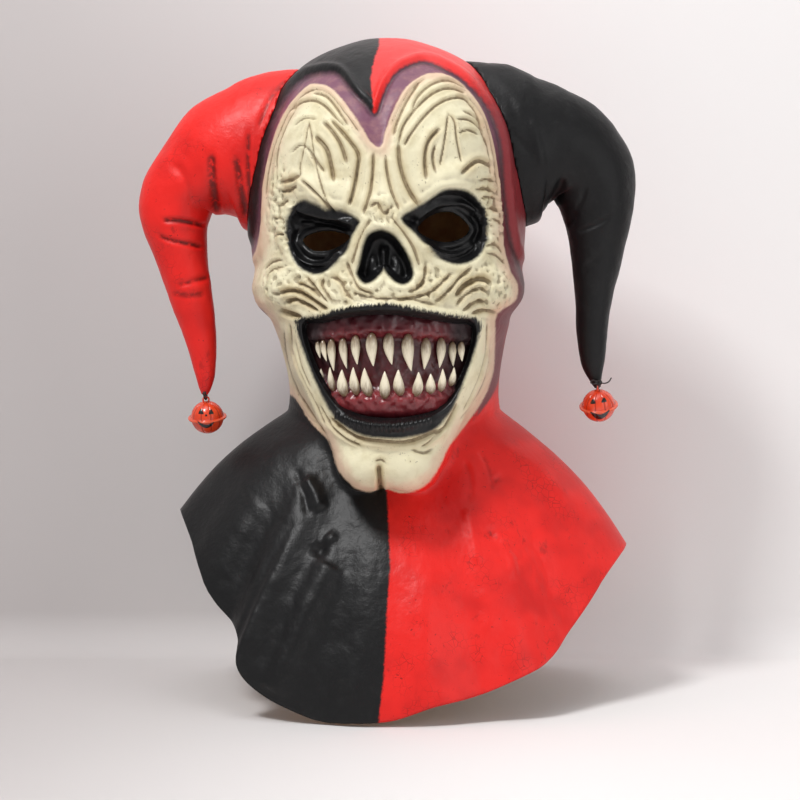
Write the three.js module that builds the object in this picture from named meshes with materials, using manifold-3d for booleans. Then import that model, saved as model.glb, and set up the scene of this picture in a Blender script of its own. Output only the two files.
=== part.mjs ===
// A full-head jester mask of cast latex, worn over the head like a hood.
// One hollow casting holds the cap, the skull face, the neck and the chest bib. Two hollow horns are glued to
// its sides, a set of gums with fangs sits behind the lips, and a round bell is tied to the tip of each horn.
// Millimetres, +Z up, the face looks along -Y. The origin is where the wearer's crown touches the inside of the cap.
import * as THREE from "three";
import { mergeVertices } from "three/addons/utils/BufferGeometryUtils.js";
import Module from "manifold-3d";

const wasm = await Module();
wasm.setup();

// Driving sizes
const WALL = 2.5; // latex thickness
const GLUE_GAP = 0.3; // clearance between glued or touching pieces
const HEAD_HEIGHT = 280; // crown to the underside of the chin
const HEAD_HALF_WIDTH = 88; // axis to the side of the cap
const FACE_REACH = 100; // axis to the face, before its relief
const NAPE_REACH = 100; // axis to the back of the head
const BIB_HALF_SPAN = 155; // axis to the outermost point of the hem
const BIB_REACH = 112; // axis to the front of the hem
const BIB_DROP = 419; // crown to the lowest point of the hem
const BIB_BILLOW = 7; // how far the bib's folds stand out at the hem
const RELIEF_HEIGHT = 10; // the unit of the face's relief
const RELIEF_CARE = 4; // how far around a recess the inner wall keeps behind it

const EYE_HALF_WIDTH = 14.5;
const EYE_HALF_HEIGHT = 7.5;
const EYE_POINTS = 16; // corners of an eye hole's outline
const MOUTH_HALF_WIDTH = 52;
const MOUTH_HALF_HEIGHT = 33;

const GUM_SET_BACK = 8; // from the lips' front to the floor between the tooth rows
const GUM_RISE = 4; // how far the gums stand out from that floor
const GUM_HALF_HEIGHT = 11;
const GUM_THICKNESS = 4;
const GUM_OVERLAP = 7; // how far the gums reach past the mouth, behind the lips
const TOOTH_LENGTH = 19;
const TOOTH_RADIUS = 3;
const TOOTH_ROOT = 3; // how deep a tooth is rooted in the gum
const TOOTH_SIDES = 5;

const HORN_REACH = 160; // axis to the outermost point of a horn
const HORN_DROP = 228; // crown to the lower end of a horn
const HORN_HALF_HEIGHT = 58; // half the height of a horn where it meets the cap
const HORN_SET_BACK = 6; // how far the middle of a horn's base lies behind the axis
const HORN_WALL = 2.5;
const HORN_SIDES = 14;

const BELL_RADIUS = 10.6;
const BELL_WALL = 0.8;
const BELL_RIM_REACH = 1.9; // how far the crimped rim stands out
const BELL_RIM_THICKNESS = 1.2;
const BELL_SLOT_WIDTH = 1.8;
const BELL_HOLE_RADIUS = 1.9;
const BELL_SIDES = 12;
const BELL_OUTSIDE_ARC = 75; // degrees from the rim to the last ring of the outside
const BELL_HOLLOW_ARC = 70; // degrees from the rim to the last ring of the hollow
const BELL_RIM_ARC = 4; // degrees at which the rim leaves the ball
const BELL_HOLE_SHARE = 0.62; // where the slot's round ends lie, as a share of the radius
const BELL_SLOT_SHARE = 1.3; // length of the slot as a share of the radius
const EYELET_RADIUS = 1.9; // to the middle of the eyelet's wire
const EYELET_WIRE = 0.6; // radius of the eyelet's wire
const TIE_WIRE = 0.5; // radius of the tie
const TIE_REACH = 4; // half the width of a tie's loop
const TIE_HOLE_CLEARANCE = 0.5;
const KNOT_RADIUS = 1.2;
const TIE_END_LENGTH = 7; // loose end of the knot

// Helpers for solids

// A closed geometry as a manifold-3d solid.
function solid(geometry) {
  const bare = geometry.clone();
  for (const name of Object.keys(bare.attributes)) {
    if (name !== "position") bare.deleteAttribute(name);
  }
  const merged = mergeVertices(bare, 1e-4);
  return new wasm.Manifold(
    new wasm.Mesh({
      numProp: 3,
      vertProperties: new Float32Array(merged.attributes.position.array),
      triVerts: new Uint32Array(merged.index.array),
    }),
  );
}

// A manifold-3d solid as a geometry.
function geometryOf(manifold) {
  const mesh = manifold.getMesh();
  const count = mesh.numProp;
  const points = new Float32Array(mesh.numVert * 3);
  for (let i = 0; i < mesh.numVert; i++) {
    points.set(mesh.vertProperties.subarray(i * count, i * count + 3), i * 3);
  }
  const geometry = new THREE.BufferGeometry();
  geometry.setAttribute("position", new THREE.BufferAttribute(points, 3));
  geometry.setIndex(new THREE.BufferAttribute(new Uint32Array(mesh.triVerts), 1));
  geometry.computeVertexNormals();
  return geometry;
}

// The biggest body of a solid, without the slivers that a cut leaves.
function largest(manifold) {
  return manifold.decompose().reduce((big, body) => (body.volume() > big.volume() ? body : big));
}

// The solid between a first point, a stack of closed rings of equal count, and a last point.
function lathed(first, rings, last) {
  const count = rings[0].length;
  const points = [first, ...rings.flat(), last];
  const faces = [];
  const at = (row, column) => 1 + row * count + (column % count);
  for (let c = 0; c < count; c++) faces.push(0, at(0, c), at(0, c + 1));
  for (let r = 0; r + 1 < rings.length; r++) {
    for (let c = 0; c < count; c++) {
      const [a, b, d, e] = [at(r, c), at(r, c + 1), at(r + 1, c), at(r + 1, c + 1)];
      faces.push(a, d, b, b, d, e);
    }
  }
  for (let c = 0; c < count; c++) {
    faces.push(points.length - 1, at(rings.length - 1, c + 1), at(rings.length - 1, c));
  }
  const geometry = new THREE.BufferGeometry();
  geometry.setAttribute("position", new THREE.Float32BufferAttribute(points.flatMap((p) => p.toArray()), 3));
  geometry.setIndex(faces);
  return geometry;
}

const smooth = (x) => {
  const t = Math.min(1, Math.max(0, x));
  return t * t * (3 - 2 * t);
};
const mix = (a, b, t) => a + (b - a) * t;

// The head: sections of the casting from the crown down to the throat.
// down, side, front and nape are shares of the head's height, half-width, face reach and nape reach.
// corner and jaw are the two points between the front and the side: across as a share of side, out as a share
// of the face reach. sag is how much lower the front of the section lies than its side, as a share of the height.
const HEAD_SECTIONS = [
  { down: 0.003, side: 0.16, front: 0.15, nape: 0.16, corner: [0.57, 0.12], jaw: [0.91, 0.06], sag: 0 },
  { down: 0.016, side: 0.31, front: 0.3, nape: 0.32, corner: [0.57, 0.25], jaw: [0.91, 0.12], sag: 0 },
  { down: 0.035, side: 0.46, front: 0.45, nape: 0.47, corner: [0.57, 0.37], jaw: [0.91, 0.19], sag: 0 },
  { down: 0.062, side: 0.6, front: 0.59, nape: 0.61, corner: [0.57, 0.49], jaw: [0.91, 0.25], sag: 0 },
  { down: 0.1, side: 0.71, front: 0.72, nape: 0.74, corner: [0.57, 0.6], jaw: [0.91, 0.31], sag: 0 },
  { down: 0.152, side: 0.81, front: 0.84, nape: 0.86, corner: [0.57, 0.7], jaw: [0.91, 0.36], sag: 0 },
  { down: 0.224, side: 0.91, front: 0.93, nape: 0.95, corner: [0.58, 0.77], jaw: [0.91, 0.4], sag: 0 },
  { down: 0.3, side: 0.965, front: 0.98, nape: 1, corner: [0.59, 0.8], jaw: [0.91, 0.42], sag: 0 },
  { down: 0.374, side: 0.99, front: 1, nape: 1.01, corner: [0.6, 0.81], jaw: [0.91, 0.43], sag: 0 },
  { down: 0.44, side: 0.99, front: 1, nape: 1, corner: [0.6, 0.82], jaw: [0.91, 0.45], sag: 0 },
  { down: 0.503, side: 0.965, front: 1, nape: 0.97, corner: [0.62, 0.83], jaw: [0.92, 0.47], sag: 0 },
  { down: 0.56, side: 0.92, front: 1, nape: 0.92, corner: [0.63, 0.84], jaw: [0.92, 0.48], sag: 0.002 },
  { down: 0.615, side: 0.87, front: 1.01, nape: 0.86, corner: [0.66, 0.84], jaw: [0.93, 0.49], sag: 0.01 },
  { down: 0.667, side: 0.83, front: 1.02, nape: 0.8, corner: [0.67, 0.84], jaw: [0.93, 0.5], sag: 0.03 },
  { down: 0.715, side: 0.8, front: 1.02, nape: 0.76, corner: [0.64, 0.84], jaw: [0.88, 0.51], sag: 0.065 },
  { down: 0.757, side: 0.78, front: 1.015, nape: 0.73, corner: [0.54, 0.85], jaw: [0.78, 0.5], sag: 0.115 },
  { down: 0.79, side: 0.77, front: 1.01, nape: 0.72, corner: [0.46, 0.86], jaw: [0.7, 0.47], sag: 0.15 },
  { down: 0.812, side: 0.767, front: 0.95, nape: 0.715, corner: [0.4, 0.81], jaw: [0.66, 0.42], sag: 0.175 },
  { down: 0.826, side: 0.77, front: 0.8, nape: 0.715, corner: [0.36, 0.69], jaw: [0.65, 0.38], sag: 0.172 },
  { down: 0.84, side: 0.775, front: 0.63, nape: 0.72, corner: [0.36, 0.55], jaw: [0.66, 0.34], sag: 0.145 },
  { down: 0.856, side: 0.8, front: 0.585, nape: 0.73, corner: [0.4, 0.52], jaw: [0.69, 0.33], sag: 0.155 },
];

// The hem of the bib, from the middle of the front round by the wearer's left, the back and the wearer's right.
// across, out and down are shares of the half-span, the reach and the drop.
const HEM_POINTS = [
  { across: -0.035, out: 1, down: 1 },
  { across: 0.2, out: 0.965, down: 0.98 },
  { across: 0.45, out: 0.86, down: 0.955 },
  { across: 0.61, out: 0.74, down: 0.93 },
  { across: 0.75, out: 0.6, down: 0.88 },
  { across: 0.895, out: 0.31, down: 0.81 },
  { across: 0.994, out: 0, down: 0.774 },
  { across: 0.93, out: -0.42, down: 0.8 },
  { across: 0.74, out: -0.75, down: 0.87 },
  { across: 0.42, out: -0.92, down: 0.93 },
  { across: 0.03, out: -0.98, down: 0.95 },
  { across: -0.37, out: -0.92, down: 0.93 },
  { across: -0.65, out: -0.75, down: 0.86 },
  { across: -0.82, out: -0.42, down: 0.77 },
  { across: -0.87, out: 0, down: 0.72 },
  { across: -0.8, out: 0.3, down: 0.77 },
  { across: -0.71, out: 0.51, down: 0.84 },
  { across: -0.6, out: 0.7, down: 0.883 },
  { across: -0.54, out: 0.79, down: 0.955 },
  { across: -0.3, out: 0.94, down: 0.995 },
];
const BIB_SHARES = [0.16, 0.36, 0.58, 0.8, 1]; // where the bib's sections lie between throat and hem
const SHOULDER_RISE = 0.06; // how far the bib bows outwards between throat and hem, as a share of its length

const LEAN = 0.06; // the neck stands this share of the half-width towards the wearer's left
const SIDE_SET_BACK = 0.06; // the widest point lies this share of the nape reach behind the axis

// One section of the head as a closed curve that starts at the front and runs by the wearer's left.
function headSection(row) {
  const width = row.side * HEAD_HALF_WIDTH;
  const lean = LEAN * HEAD_HALF_WIDTH * smooth((row.down - 0.45) / 0.35);
  const top = WALL;
  const level = (fall) => top - (row.down + row.sag * fall) * HEAD_HEIGHT;
  const nape = row.nape * NAPE_REACH;
  const half = [
    [row.corner[0] * width, -row.corner[1] * FACE_REACH, level(0.96)],
    [row.jaw[0] * width, -row.jaw[1] * FACE_REACH, level(0.3)],
    [width, SIDE_SET_BACK * NAPE_REACH, level(0)],
    [0.69 * width, 0.74 * nape, level(0)],
  ];
  const front = new THREE.Vector3(lean * 0.2, -row.front * FACE_REACH, level(1));
  const back = new THREE.Vector3(lean, nape, level(0));
  const left = half.map(([x, y, z], i) => new THREE.Vector3(x + lean * (0.4 + 0.2 * i), y, z));
  const right = half.map(([x, y, z], i) => new THREE.Vector3(-x + lean * (0.4 + 0.2 * i), y, z)).reverse();
  return new THREE.CatmullRomCurve3([front, ...left, back, ...right], true, "catmullrom", 0.5);
}

const hemCurve = new THREE.CatmullRomCurve3(
  HEM_POINTS.map((p) => new THREE.Vector3(p.across * BIB_HALF_SPAN, -p.out * BIB_REACH, WALL - p.down * BIB_DROP)),
  true,
  "catmullrom",
  0.5,
);
const headCurves = HEAD_SECTIONS.map(headSection);
const crownPoint = new THREE.Vector3(0, 0, WALL);

// Soft folds of the bib: centre as a turn from the front, half-width in turns, and height as a share of the billow.
const BIB_FOLDS = [
  { turn: 0.045, wide: 0.035, rise: 0.5 },
  { turn: 0.13, wide: 0.05, rise: 1 },
  { turn: 0.2, wide: 0.03, rise: -0.6 },
  { turn: 0.27, wide: 0.05, rise: 0.8 },
  { turn: 0.42, wide: 0.05, rise: 0.8 },
  { turn: 0.58, wide: 0.05, rise: 0.7 },
  { turn: 0.73, wide: 0.05, rise: 0.8 },
  { turn: 0.82, wide: 0.035, rise: -0.8 },
  { turn: 0.885, wide: 0.035, rise: 0.9 },
  { turn: 0.955, wide: 0.03, rise: -0.5 },
];

// Relief of the face. x and down place the middle as shares of the head's half-width and height, wide and tall
// are half-sizes as the same shares, rise is in relief heights, turn is in degrees, flat is the share that is level.
const FACE_RELIEF = [
  { name: "left forehead lobe", x: 0.39, down: 0.22, wide: 0.42, tall: 0.17, rise: 0.45, turn: 8, flat: 0.1 },
  { name: "right forehead lobe", x: -0.42, down: 0.23, wide: 0.42, tall: 0.16, rise: 0.45, turn: -8, flat: 0.1 },
  { name: "widow's peak", x: -0.05, down: 0.15, wide: 0.16, tall: 0.12, rise: -0.25, turn: 0, flat: 0.1 },
  { name: "left brow", x: 0.44, down: 0.33, wide: 0.38, tall: 0.05, rise: 0.4, turn: 14, flat: 0.2 },
  { name: "right brow", x: -0.44, down: 0.357, wide: 0.36, tall: 0.05, rise: 0.45, turn: -16, flat: 0.2 },
  { name: "bridge", x: -0.03, down: 0.4, wide: 0.2, tall: 0.09, rise: 0.45, turn: 0, flat: 0.1 },
  { name: "left socket", x: 0.41, down: 0.428, wide: 0.37, tall: 0.108, rise: -1, turn: 12, flat: 0.25 },
  { name: "right socket", x: -0.455, down: 0.449, wide: 0.33, tall: 0.1, rise: -1, turn: -6, flat: 0.25 },
  { name: "nose rim", x: 0, down: 0.49, wide: 0.36, tall: 0.11, rise: 0.35, turn: 0, flat: 0.3 },
  { name: "nose hole", x: -0.01, down: 0.495, wide: 0.24, tall: 0.082, rise: -1.15, turn: 0, flat: 0.3 },
  { name: "muzzle", x: 0.02, down: 0.59, wide: 0.75, tall: 0.085, rise: 0.7, turn: 0, flat: 0.2 },
  { name: "left cheek", x: 0.81, down: 0.561, wide: 0.26, tall: 0.07, rise: 0.6, turn: 10, flat: 0.2 },
  { name: "right cheek", x: -0.81, down: 0.568, wide: 0.26, tall: 0.07, rise: 0.6, turn: -10, flat: 0.2 },
  { name: "left cheek hollow", x: 0.75, down: 0.69, wide: 0.2, tall: 0.06, rise: -0.35, turn: 0, flat: 0.1 },
  { name: "right cheek hollow", x: -0.75, down: 0.69, wide: 0.2, tall: 0.06, rise: -0.35, turn: 0, flat: 0.1 },
  { name: "lower lip", x: 0.03, down: 0.865, wide: 0.45, tall: 0.05, rise: 0.6, turn: 0, flat: 0.2 },
  { name: "left chin lobe", x: 0.17, down: 0.96, wide: 0.2, tall: 0.06, rise: 0.4, turn: 0, flat: 0.1 },
  { name: "right chin lobe", x: -0.2, down: 0.96, wide: 0.2, tall: 0.06, rise: 0.4, turn: 0, flat: 0.1 },
];

// Height of the face's relief at a place on the front, in millimetres.
function relief(x, z) {
  let height = 0;
  for (const f of FACE_RELIEF) {
    const turn = THREE.MathUtils.degToRad(f.turn);
    const dx = x - f.x * HEAD_HALF_WIDTH;
    const dz = z - (WALL - f.down * HEAD_HEIGHT);
    const across = (dx * Math.cos(turn) + dz * Math.sin(turn)) / (f.wide * HEAD_HALF_WIDTH);
    const along = (dz * Math.cos(turn) - dx * Math.sin(turn)) / (f.tall * HEAD_HEIGHT);
    height += f.rise * RELIEF_HEIGHT * smooth((1 - Math.hypot(across, along)) / (1 - f.flat));
  }
  return height;
}

// The least relief near a place: what an inner wall has to stay behind.
function carefulRelief(x, z) {
  const near = [-RELIEF_CARE, 0, RELIEF_CARE];
  return Math.min(...near.flatMap((dx) => near.map((dz) => relief(x + dx, z + dz))));
}

// How far a fold lifts the bib at a turn and a share of the way to the hem.
function billow(turn, share) {
  const lift = BIB_FOLDS.map((f) => {
    const gap = Math.abs(((turn - f.turn + 1.5) % 1) - 0.5);
    return f.rise * smooth(1 - gap / f.wide);
  });
  return BIB_BILLOW * smooth(share * 1.2) * lift.reduce((sum, x) => sum + x, 0);
}

// The casting's surface at a turn: a curve from the crown over the face and throat to the hem.
function meridian(turn) {
  const head = headCurves.map((curve) => curve.getPoint(turn));
  const throat = head[head.length - 1];
  const hem = hemCurve.getPoint(turn);
  const outwards = new THREE.Vector3(hem.x, hem.y, 0).normalize().add(new THREE.Vector3(0, 0, 0.6)).normalize();
  const length = throat.distanceTo(hem);
  const bib = BIB_SHARES.map((share) => {
    const bow = Math.sin(Math.PI * share) * SHOULDER_RISE * length;
    return throat.clone().lerp(hem, share).addScaledVector(outwards, bow + billow(turn, share));
  });
  return new THREE.CatmullRomCurve3([crownPoint, ...head, ...bib], false, "catmullrom", 0.5);
}

const HEAD_STEPS = HEAD_SECTIONS.length;
const ALL_STEPS = HEAD_STEPS + BIB_SHARES.length;
const FACE_FIRST_STEP = 5; // the sections between which the face has twice as many rings
const FACE_LAST_STEP = HEAD_STEPS - 2;
const FACE_BEGINS = 0.3; // the relief fades in over this share of the face reach
const CHEEK_LINE = -0.45 * FACE_REACH; // cuts through the face stop here, in front of the cheeks

// Columns around a section, closer together over the face: their number in each tenth of a turn from the front.
const COLUMNS = [7, 6, 4, 3, 3];
const TURNS = [...COLUMNS, ...[...COLUMNS].reverse()].flatMap((count, span) =>
  Array.from({ length: count }, (_, i) => (span + i / count) / (2 * COLUMNS.length)),
);

// Rings of the casting's surface, moved out by a distance, negative inwards, and by the face's relief. There are
// perStep rings for each stretch between sections over the face, and one for each stretch of the bib.
function skin(offset, perStep, reliefAt) {
  const stations = [];
  for (let i = 1; i <= ALL_STEPS * perStep; i++) {
    const at = i / perStep;
    if (Number.isInteger(at) || (at > FACE_FIRST_STEP && at < FACE_LAST_STEP)) stations.push(at);
  }
  const curves = TURNS.map(meridian);
  const base = stations.map((at) => curves.map((curve) => curve.getPoint(at / ALL_STEPS)));
  const count = TURNS.length;
  return base.map((ring, r) =>
    ring.map((point, c) => {
      const beside = ring[(c + 1) % count].clone().sub(ring[(c - 1 + count) % count]);
      const above = r ? base[r - 1][c] : crownPoint;
      const below = base[Math.min(r + 1, base.length - 1)][c];
      const normal = below.clone().sub(above).cross(beside).normalize();
      const faceward = stations[r] <= FACE_LAST_STEP ? smooth(-point.y / (FACE_BEGINS * FACE_REACH)) : 0;
      const lift = faceward ? faceward * reliefAt(point.x, point.z) : 0;
      return point.clone().addScaledVector(normal, lift + offset);
    }),
  );
}

// The casting's surface moved by an offset and a relief, as a full form that other pieces are trimmed with.
function fullForm(offset, perStep, reliefAt) {
  const rings = skin(offset, perStep, reliefAt);
  return solid(lathed(crownPoint.clone().add(new THREE.Vector3(0, 0, offset)), rings, new THREE.Vector3(0, 0, -BIB_DROP)));
}

// A flat outline made into a bar along Y.
function barAlongY(outline, from, to) {
  const bar = new THREE.ExtrudeGeometry(new THREE.Shape(outline), { depth: to - from, bevelEnabled: false });
  return solid(bar.rotateX(Math.PI / 2).translate(0, to, 0));
}

const faceX = (share) => share * HEAD_HALF_WIDTH;
const faceZ = (share) => WALL - share * HEAD_HEIGHT;

const EYES = [
  { x: 0.395, down: 0.427, turn: 5 },
  { x: -0.44, down: 0.455, turn: -3 },
];

// An eye hole: an oval with pointed corners.
function eyeOutline(eye) {
  const turn = THREE.MathUtils.degToRad(eye.turn);
  return Array.from({ length: EYE_POINTS }, (_, i) => {
    const a = (i / EYE_POINTS) * Math.PI * 2;
    const corner = new THREE.Vector2(EYE_HALF_WIDTH * Math.cos(a), EYE_HALF_HEIGHT * Math.sin(a) ** 3);
    corner.y = mix(corner.y, EYE_HALF_HEIGHT * Math.sin(a), 0.7);
    return corner.rotateAround(new THREE.Vector2(), turn).add(new THREE.Vector2(faceX(eye.x), faceZ(eye.down)));
  });
}

// The mouth: a wide grin, nearly level on top and round below. across and up are shares of its half-sizes, for one
// half from the middle of the upper lip to the middle of the lower one.
const MOUTH = { x: 0.02, down: 0.73 };
const MOUTH_HALF = [
  { across: 0, up: 1 },
  { across: 0.4, up: 0.98 },
  { across: 0.75, up: 0.86 },
  { across: 1, up: 0.72 },
  { across: 0.98, up: 0.3 },
  { across: 0.88, up: -0.2 },
  { across: 0.7, up: -0.66 },
  { across: 0.4, up: -0.93 },
  { across: 0, up: -1 },
];

// The mouth's outline, grown by a margin.
function mouthOutline(margin) {
  const point = (share, side) =>
    new THREE.Vector2(
      faceX(MOUTH.x) + side * share.across * (MOUTH_HALF_WIDTH + margin),
      faceZ(MOUTH.down) + share.up * (MOUTH_HALF_HEIGHT + margin),
    );
  const one = MOUTH_HALF.map((share) => point(share, -1));
  const other = MOUTH_HALF.slice(1, -1).map((share) => point(share, 1));
  return new THREE.Shape().setFromPoints([...one, ...other.reverse()]).getPoints();
}

// The tube along a path: rings of an ellipse, half wide in the path's plane and half deep across it.
function tube(stops, sides, across) {
  const middle = stops.map((stop) => stop.at);
  const rings = stops.map((stop, i) => {
    const along = middle[Math.min(i + 1, middle.length - 1)].clone().sub(middle[Math.max(i - 1, 0)]).normalize();
    const inPlane = across.clone().cross(along).normalize();
    return Array.from({ length: sides }, (_, k) => {
      const a = (-k / sides) * Math.PI * 2;
      return stop.at
        .clone()
        .addScaledVector(inPlane, stop.half * Math.cos(a))
        .addScaledVector(across, stop.deep * Math.sin(a));
    });
  });
  return solid(lathed(middle[0], rings, middle[middle.length - 1]));
}

// The casting of cap, face, neck and bib
function makeShell() {
  const outer = skin(0, 2, relief);
  const inner = skin(-WALL, 1, carefulRelief).reverse();
  const casting = solid(lathed(crownPoint, [...outer, ...inner], new THREE.Vector3(0, 0, 0)));
  const holes = [...EYES.map(eyeOutline), mouthOutline(0)];
  return holes.reduce((body, outline) => body.subtract(barAlongY(outline, -2 * FACE_REACH, CHEEK_LINE)), casting);
}

// Gums and teeth: one insert glued in behind the lips
const GUM_ROWS = [
  { name: "upper", up: 0.85, toothUp: 0.7, point: -1, curve: 0.12, length: 1, last: 0.84 },
  { name: "lower", up: -0.62, toothUp: -0.42, point: 1, curve: 0.2, length: 0.8, last: 0.72 },
];
const TEETH_IN_ROW = 11;
// A tooth's outside: shares of its length and radius, and how far it stands out in millimetres.
const TOOTH_STOPS = [
  { long: 0, out: 0, half: 0.8 },
  { long: 0.2, out: 1, half: 1 },
  { long: 0.6, out: 1.8, half: 0.75 },
  { long: 0.92, out: 1.4, half: 0.25 },
];
const TOOTH_INWARD = 0.98; // a tooth's tip lies this share as far from the middle as its root

// Height of the gums over the floor between the rows.
function gumRelief(x, z) {
  const across = (x - faceX(MOUTH.x)) / MOUTH_HALF_WIDTH;
  const rise = GUM_ROWS.map((row) => {
    const middle = faceZ(MOUTH.down) + (row.up + row.point * row.curve * across * across) * MOUTH_HALF_HEIGHT;
    return smooth(1.4 * (1 - Math.abs(z - middle) / GUM_HALF_HEIGHT));
  });
  return GUM_RISE * Math.max(...rise);
}

function makeTeeth(floor) {
  return GUM_ROWS.flatMap((row) =>
    Array.from({ length: TEETH_IN_ROW }, (_, i) => {
      const across = row.last * (i / ((TEETH_IN_ROW - 1) / 2) - 1);
      const x = faceX(MOUTH.x) + across * MOUTH_HALF_WIDTH;
      const z = faceZ(MOUTH.down) + (row.toothUp + row.point * row.curve * across * across) * MOUTH_HALF_HEIGHT;
      const probe = barAlongY(
        [new THREE.Vector2(x - 1, z - 1), new THREE.Vector2(x + 1, z - 1), new THREE.Vector2(x, z + 1)],
        -2 * FACE_REACH,
        0,
      );
      const y = floor.intersect(probe).boundingBox().min[1] + TOOTH_ROOT * 0.5;
      const size = TOOTH_RADIUS * mix(1.1, 0.75, Math.abs(across));
      const long = TOOTH_LENGTH * row.length * mix(1.08, 0.85, Math.abs(across));
      const stops = TOOTH_STOPS.map((stop) => ({
        at: new THREE.Vector3(x * mix(1, TOOTH_INWARD, stop.long), y - stop.out, z + row.point * stop.long * long),
        half: stop.half * size,
        deep: stop.half * size,
      }));
      return tube(stops, TOOTH_SIDES, new THREE.Vector3(0, 1, 0));
    }),
  );
}

function makeGumsAndTeeth(shell) {
  const seat = fullForm(-WALL - GLUE_GAP, 1, carefulRelief).intersect(
    barAlongY(mouthOutline(GUM_OVERLAP), -2 * FACE_REACH, CHEEK_LINE),
  );
  const floor = fullForm(-GUM_SET_BACK, 1, gumRelief);
  const mouth = barAlongY(mouthOutline(-1), -2 * FACE_REACH, 0);
  const back = fullForm(-GUM_SET_BACK - GUM_THICKNESS, 1, () => 0);
  const tray = largest(seat.subtract(mouth.subtract(floor)).subtract(back).subtract(shell.translate([0, GLUE_GAP, 0])));
  const room = barAlongY(mouthOutline(-2 * GLUE_GAP), -2 * FACE_REACH, CHEEK_LINE).add(seat);
  return makeTeeth(floor).reduce((body, tooth) => body.add(tooth), tray).intersect(room);
}

// Horns: sections from the cap to the tip. x and down place the middle of a section as shares of the horn's reach
// and drop, half is its half-height as a share of the one at the cap, deep is its depth as a share of its height.
const BLACK_HORN = [
  { x: 0.2, down: 0.3, half: 1, deep: 0.7 },
  { x: 0.45, down: 0.3, half: 0.97, deep: 0.72 },
  { x: 0.57, down: 0.3, half: 0.86, deep: 0.76 },
  { x: 0.655, down: 0.303, half: 0.73, deep: 0.82 },
  { x: 0.74, down: 0.326, half: 0.62, deep: 0.88 },
  { x: 0.81, down: 0.378, half: 0.525, deep: 0.92 },
  { x: 0.84, down: 0.442, half: 0.45, deep: 0.95 },
  { x: 0.845, down: 0.51, half: 0.385, deep: 0.97 },
  { x: 0.84, down: 0.582, half: 0.315, deep: 1 },
  { x: 0.83, down: 0.69, half: 0.245, deep: 1 },
  { x: 0.82, down: 0.805, half: 0.185, deep: 1 },
  { x: 0.823, down: 0.9, half: 0.13, deep: 1 },
  { x: 0.835, down: 0.952, half: 0.07, deep: 0.9 },
  { x: 0.845, down: 0.977, half: 0.035, deep: 0.9 },
];
const RED_HORN = [
  { x: -0.2, down: 0.31, half: 1, deep: 0.7 },
  { x: -0.45, down: 0.315, half: 0.95, deep: 0.72 },
  { x: -0.57, down: 0.32, half: 0.85, deep: 0.76 },
  { x: -0.675, down: 0.333, half: 0.7, deep: 0.84 },
  { x: -0.775, down: 0.376, half: 0.53, deep: 0.9 },
  { x: -0.835, down: 0.44, half: 0.43, deep: 0.94 },
  { x: -0.85, down: 0.512, half: 0.385, deep: 0.96 },
  { x: -0.832, down: 0.604, half: 0.33, deep: 1 },
  { x: -0.795, down: 0.722, half: 0.265, deep: 1 },
  { x: -0.755, down: 0.85, half: 0.205, deep: 1 },
  { x: -0.735, down: 0.93, half: 0.135, deep: 1 },
  { x: -0.733, down: 0.975, half: 0.075, deep: 0.9 },
  { x: -0.735, down: 0.997, half: 0.035, deep: 0.9 },
];
const HORN_SOLID_STOPS = 2; // sections at the tip that have no hollow
const HORN_FORWARD = 10; // how far the tip lies in front of the base

// The stops of a horn's outside, or of its hollow when a wall is given.
function hornStops(table, wall) {
  const last = table[table.length - 1];
  const stops = table.map((row) => ({
    at: new THREE.Vector3(
      row.x * HORN_REACH,
      HORN_SET_BACK - HORN_FORWARD * smooth(row.down / last.down),
      WALL - row.down * HORN_DROP,
    ),
    half: row.half * HORN_HALF_HEIGHT - wall,
    deep: row.half * row.deep * HORN_HALF_HEIGHT - wall,
  }));
  return wall ? stops.slice(0, -HORN_SOLID_STOPS) : stops;
}

// A closed loop of wire through two points, lying along a level direction.
function wireLoop(top, bottom, along, reach, wire, steps, sides) {
  const middle = top.clone().add(bottom).multiplyScalar(0.5);
  const up = top.clone().sub(middle);
  const points = Array.from({ length: steps }, (_, i) => {
    const a = (i / steps) * Math.PI * 2;
    return middle.clone().addScaledVector(up, Math.cos(a)).addScaledVector(along, reach * Math.sin(a));
  });
  const curve = new THREE.CatmullRomCurve3(points, true);
  return solid(new THREE.TubeGeometry(curve, steps, wire, sides, true));
}

// Where each bell hangs from its horn. tip is the hole in the horn and hang is the eyelet's middle, measured from
// the horn's last stop; lean tips the bell forwards and roll sideways; along is the way its tie lies. Degrees, mm.
const BELLS = {
  red_horn: { tip: [0, 0, 2.6], hang: [0.8, 0, -3.4], lean: 13, roll: 3, along: 80, knot: 0.2, end: 0 },
  black_horn: { tip: [0, 0, 3.4], hang: [-0.6, -4.6, -0.6], lean: 20, roll: 6, along: 0, knot: 0.75, end: 1 },
};
const EYELET_LIFT = 1.2; // middle of the eyelet over the ball

function level(degrees) {
  return new THREE.Vector3(1, 0, 0).applyAxisAngle(new THREE.Vector3(0, 0, 1), -THREE.MathUtils.degToRad(degrees));
}

function pointFrom(base, offset) {
  return base.clone().add(new THREE.Vector3(...offset));
}

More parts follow.
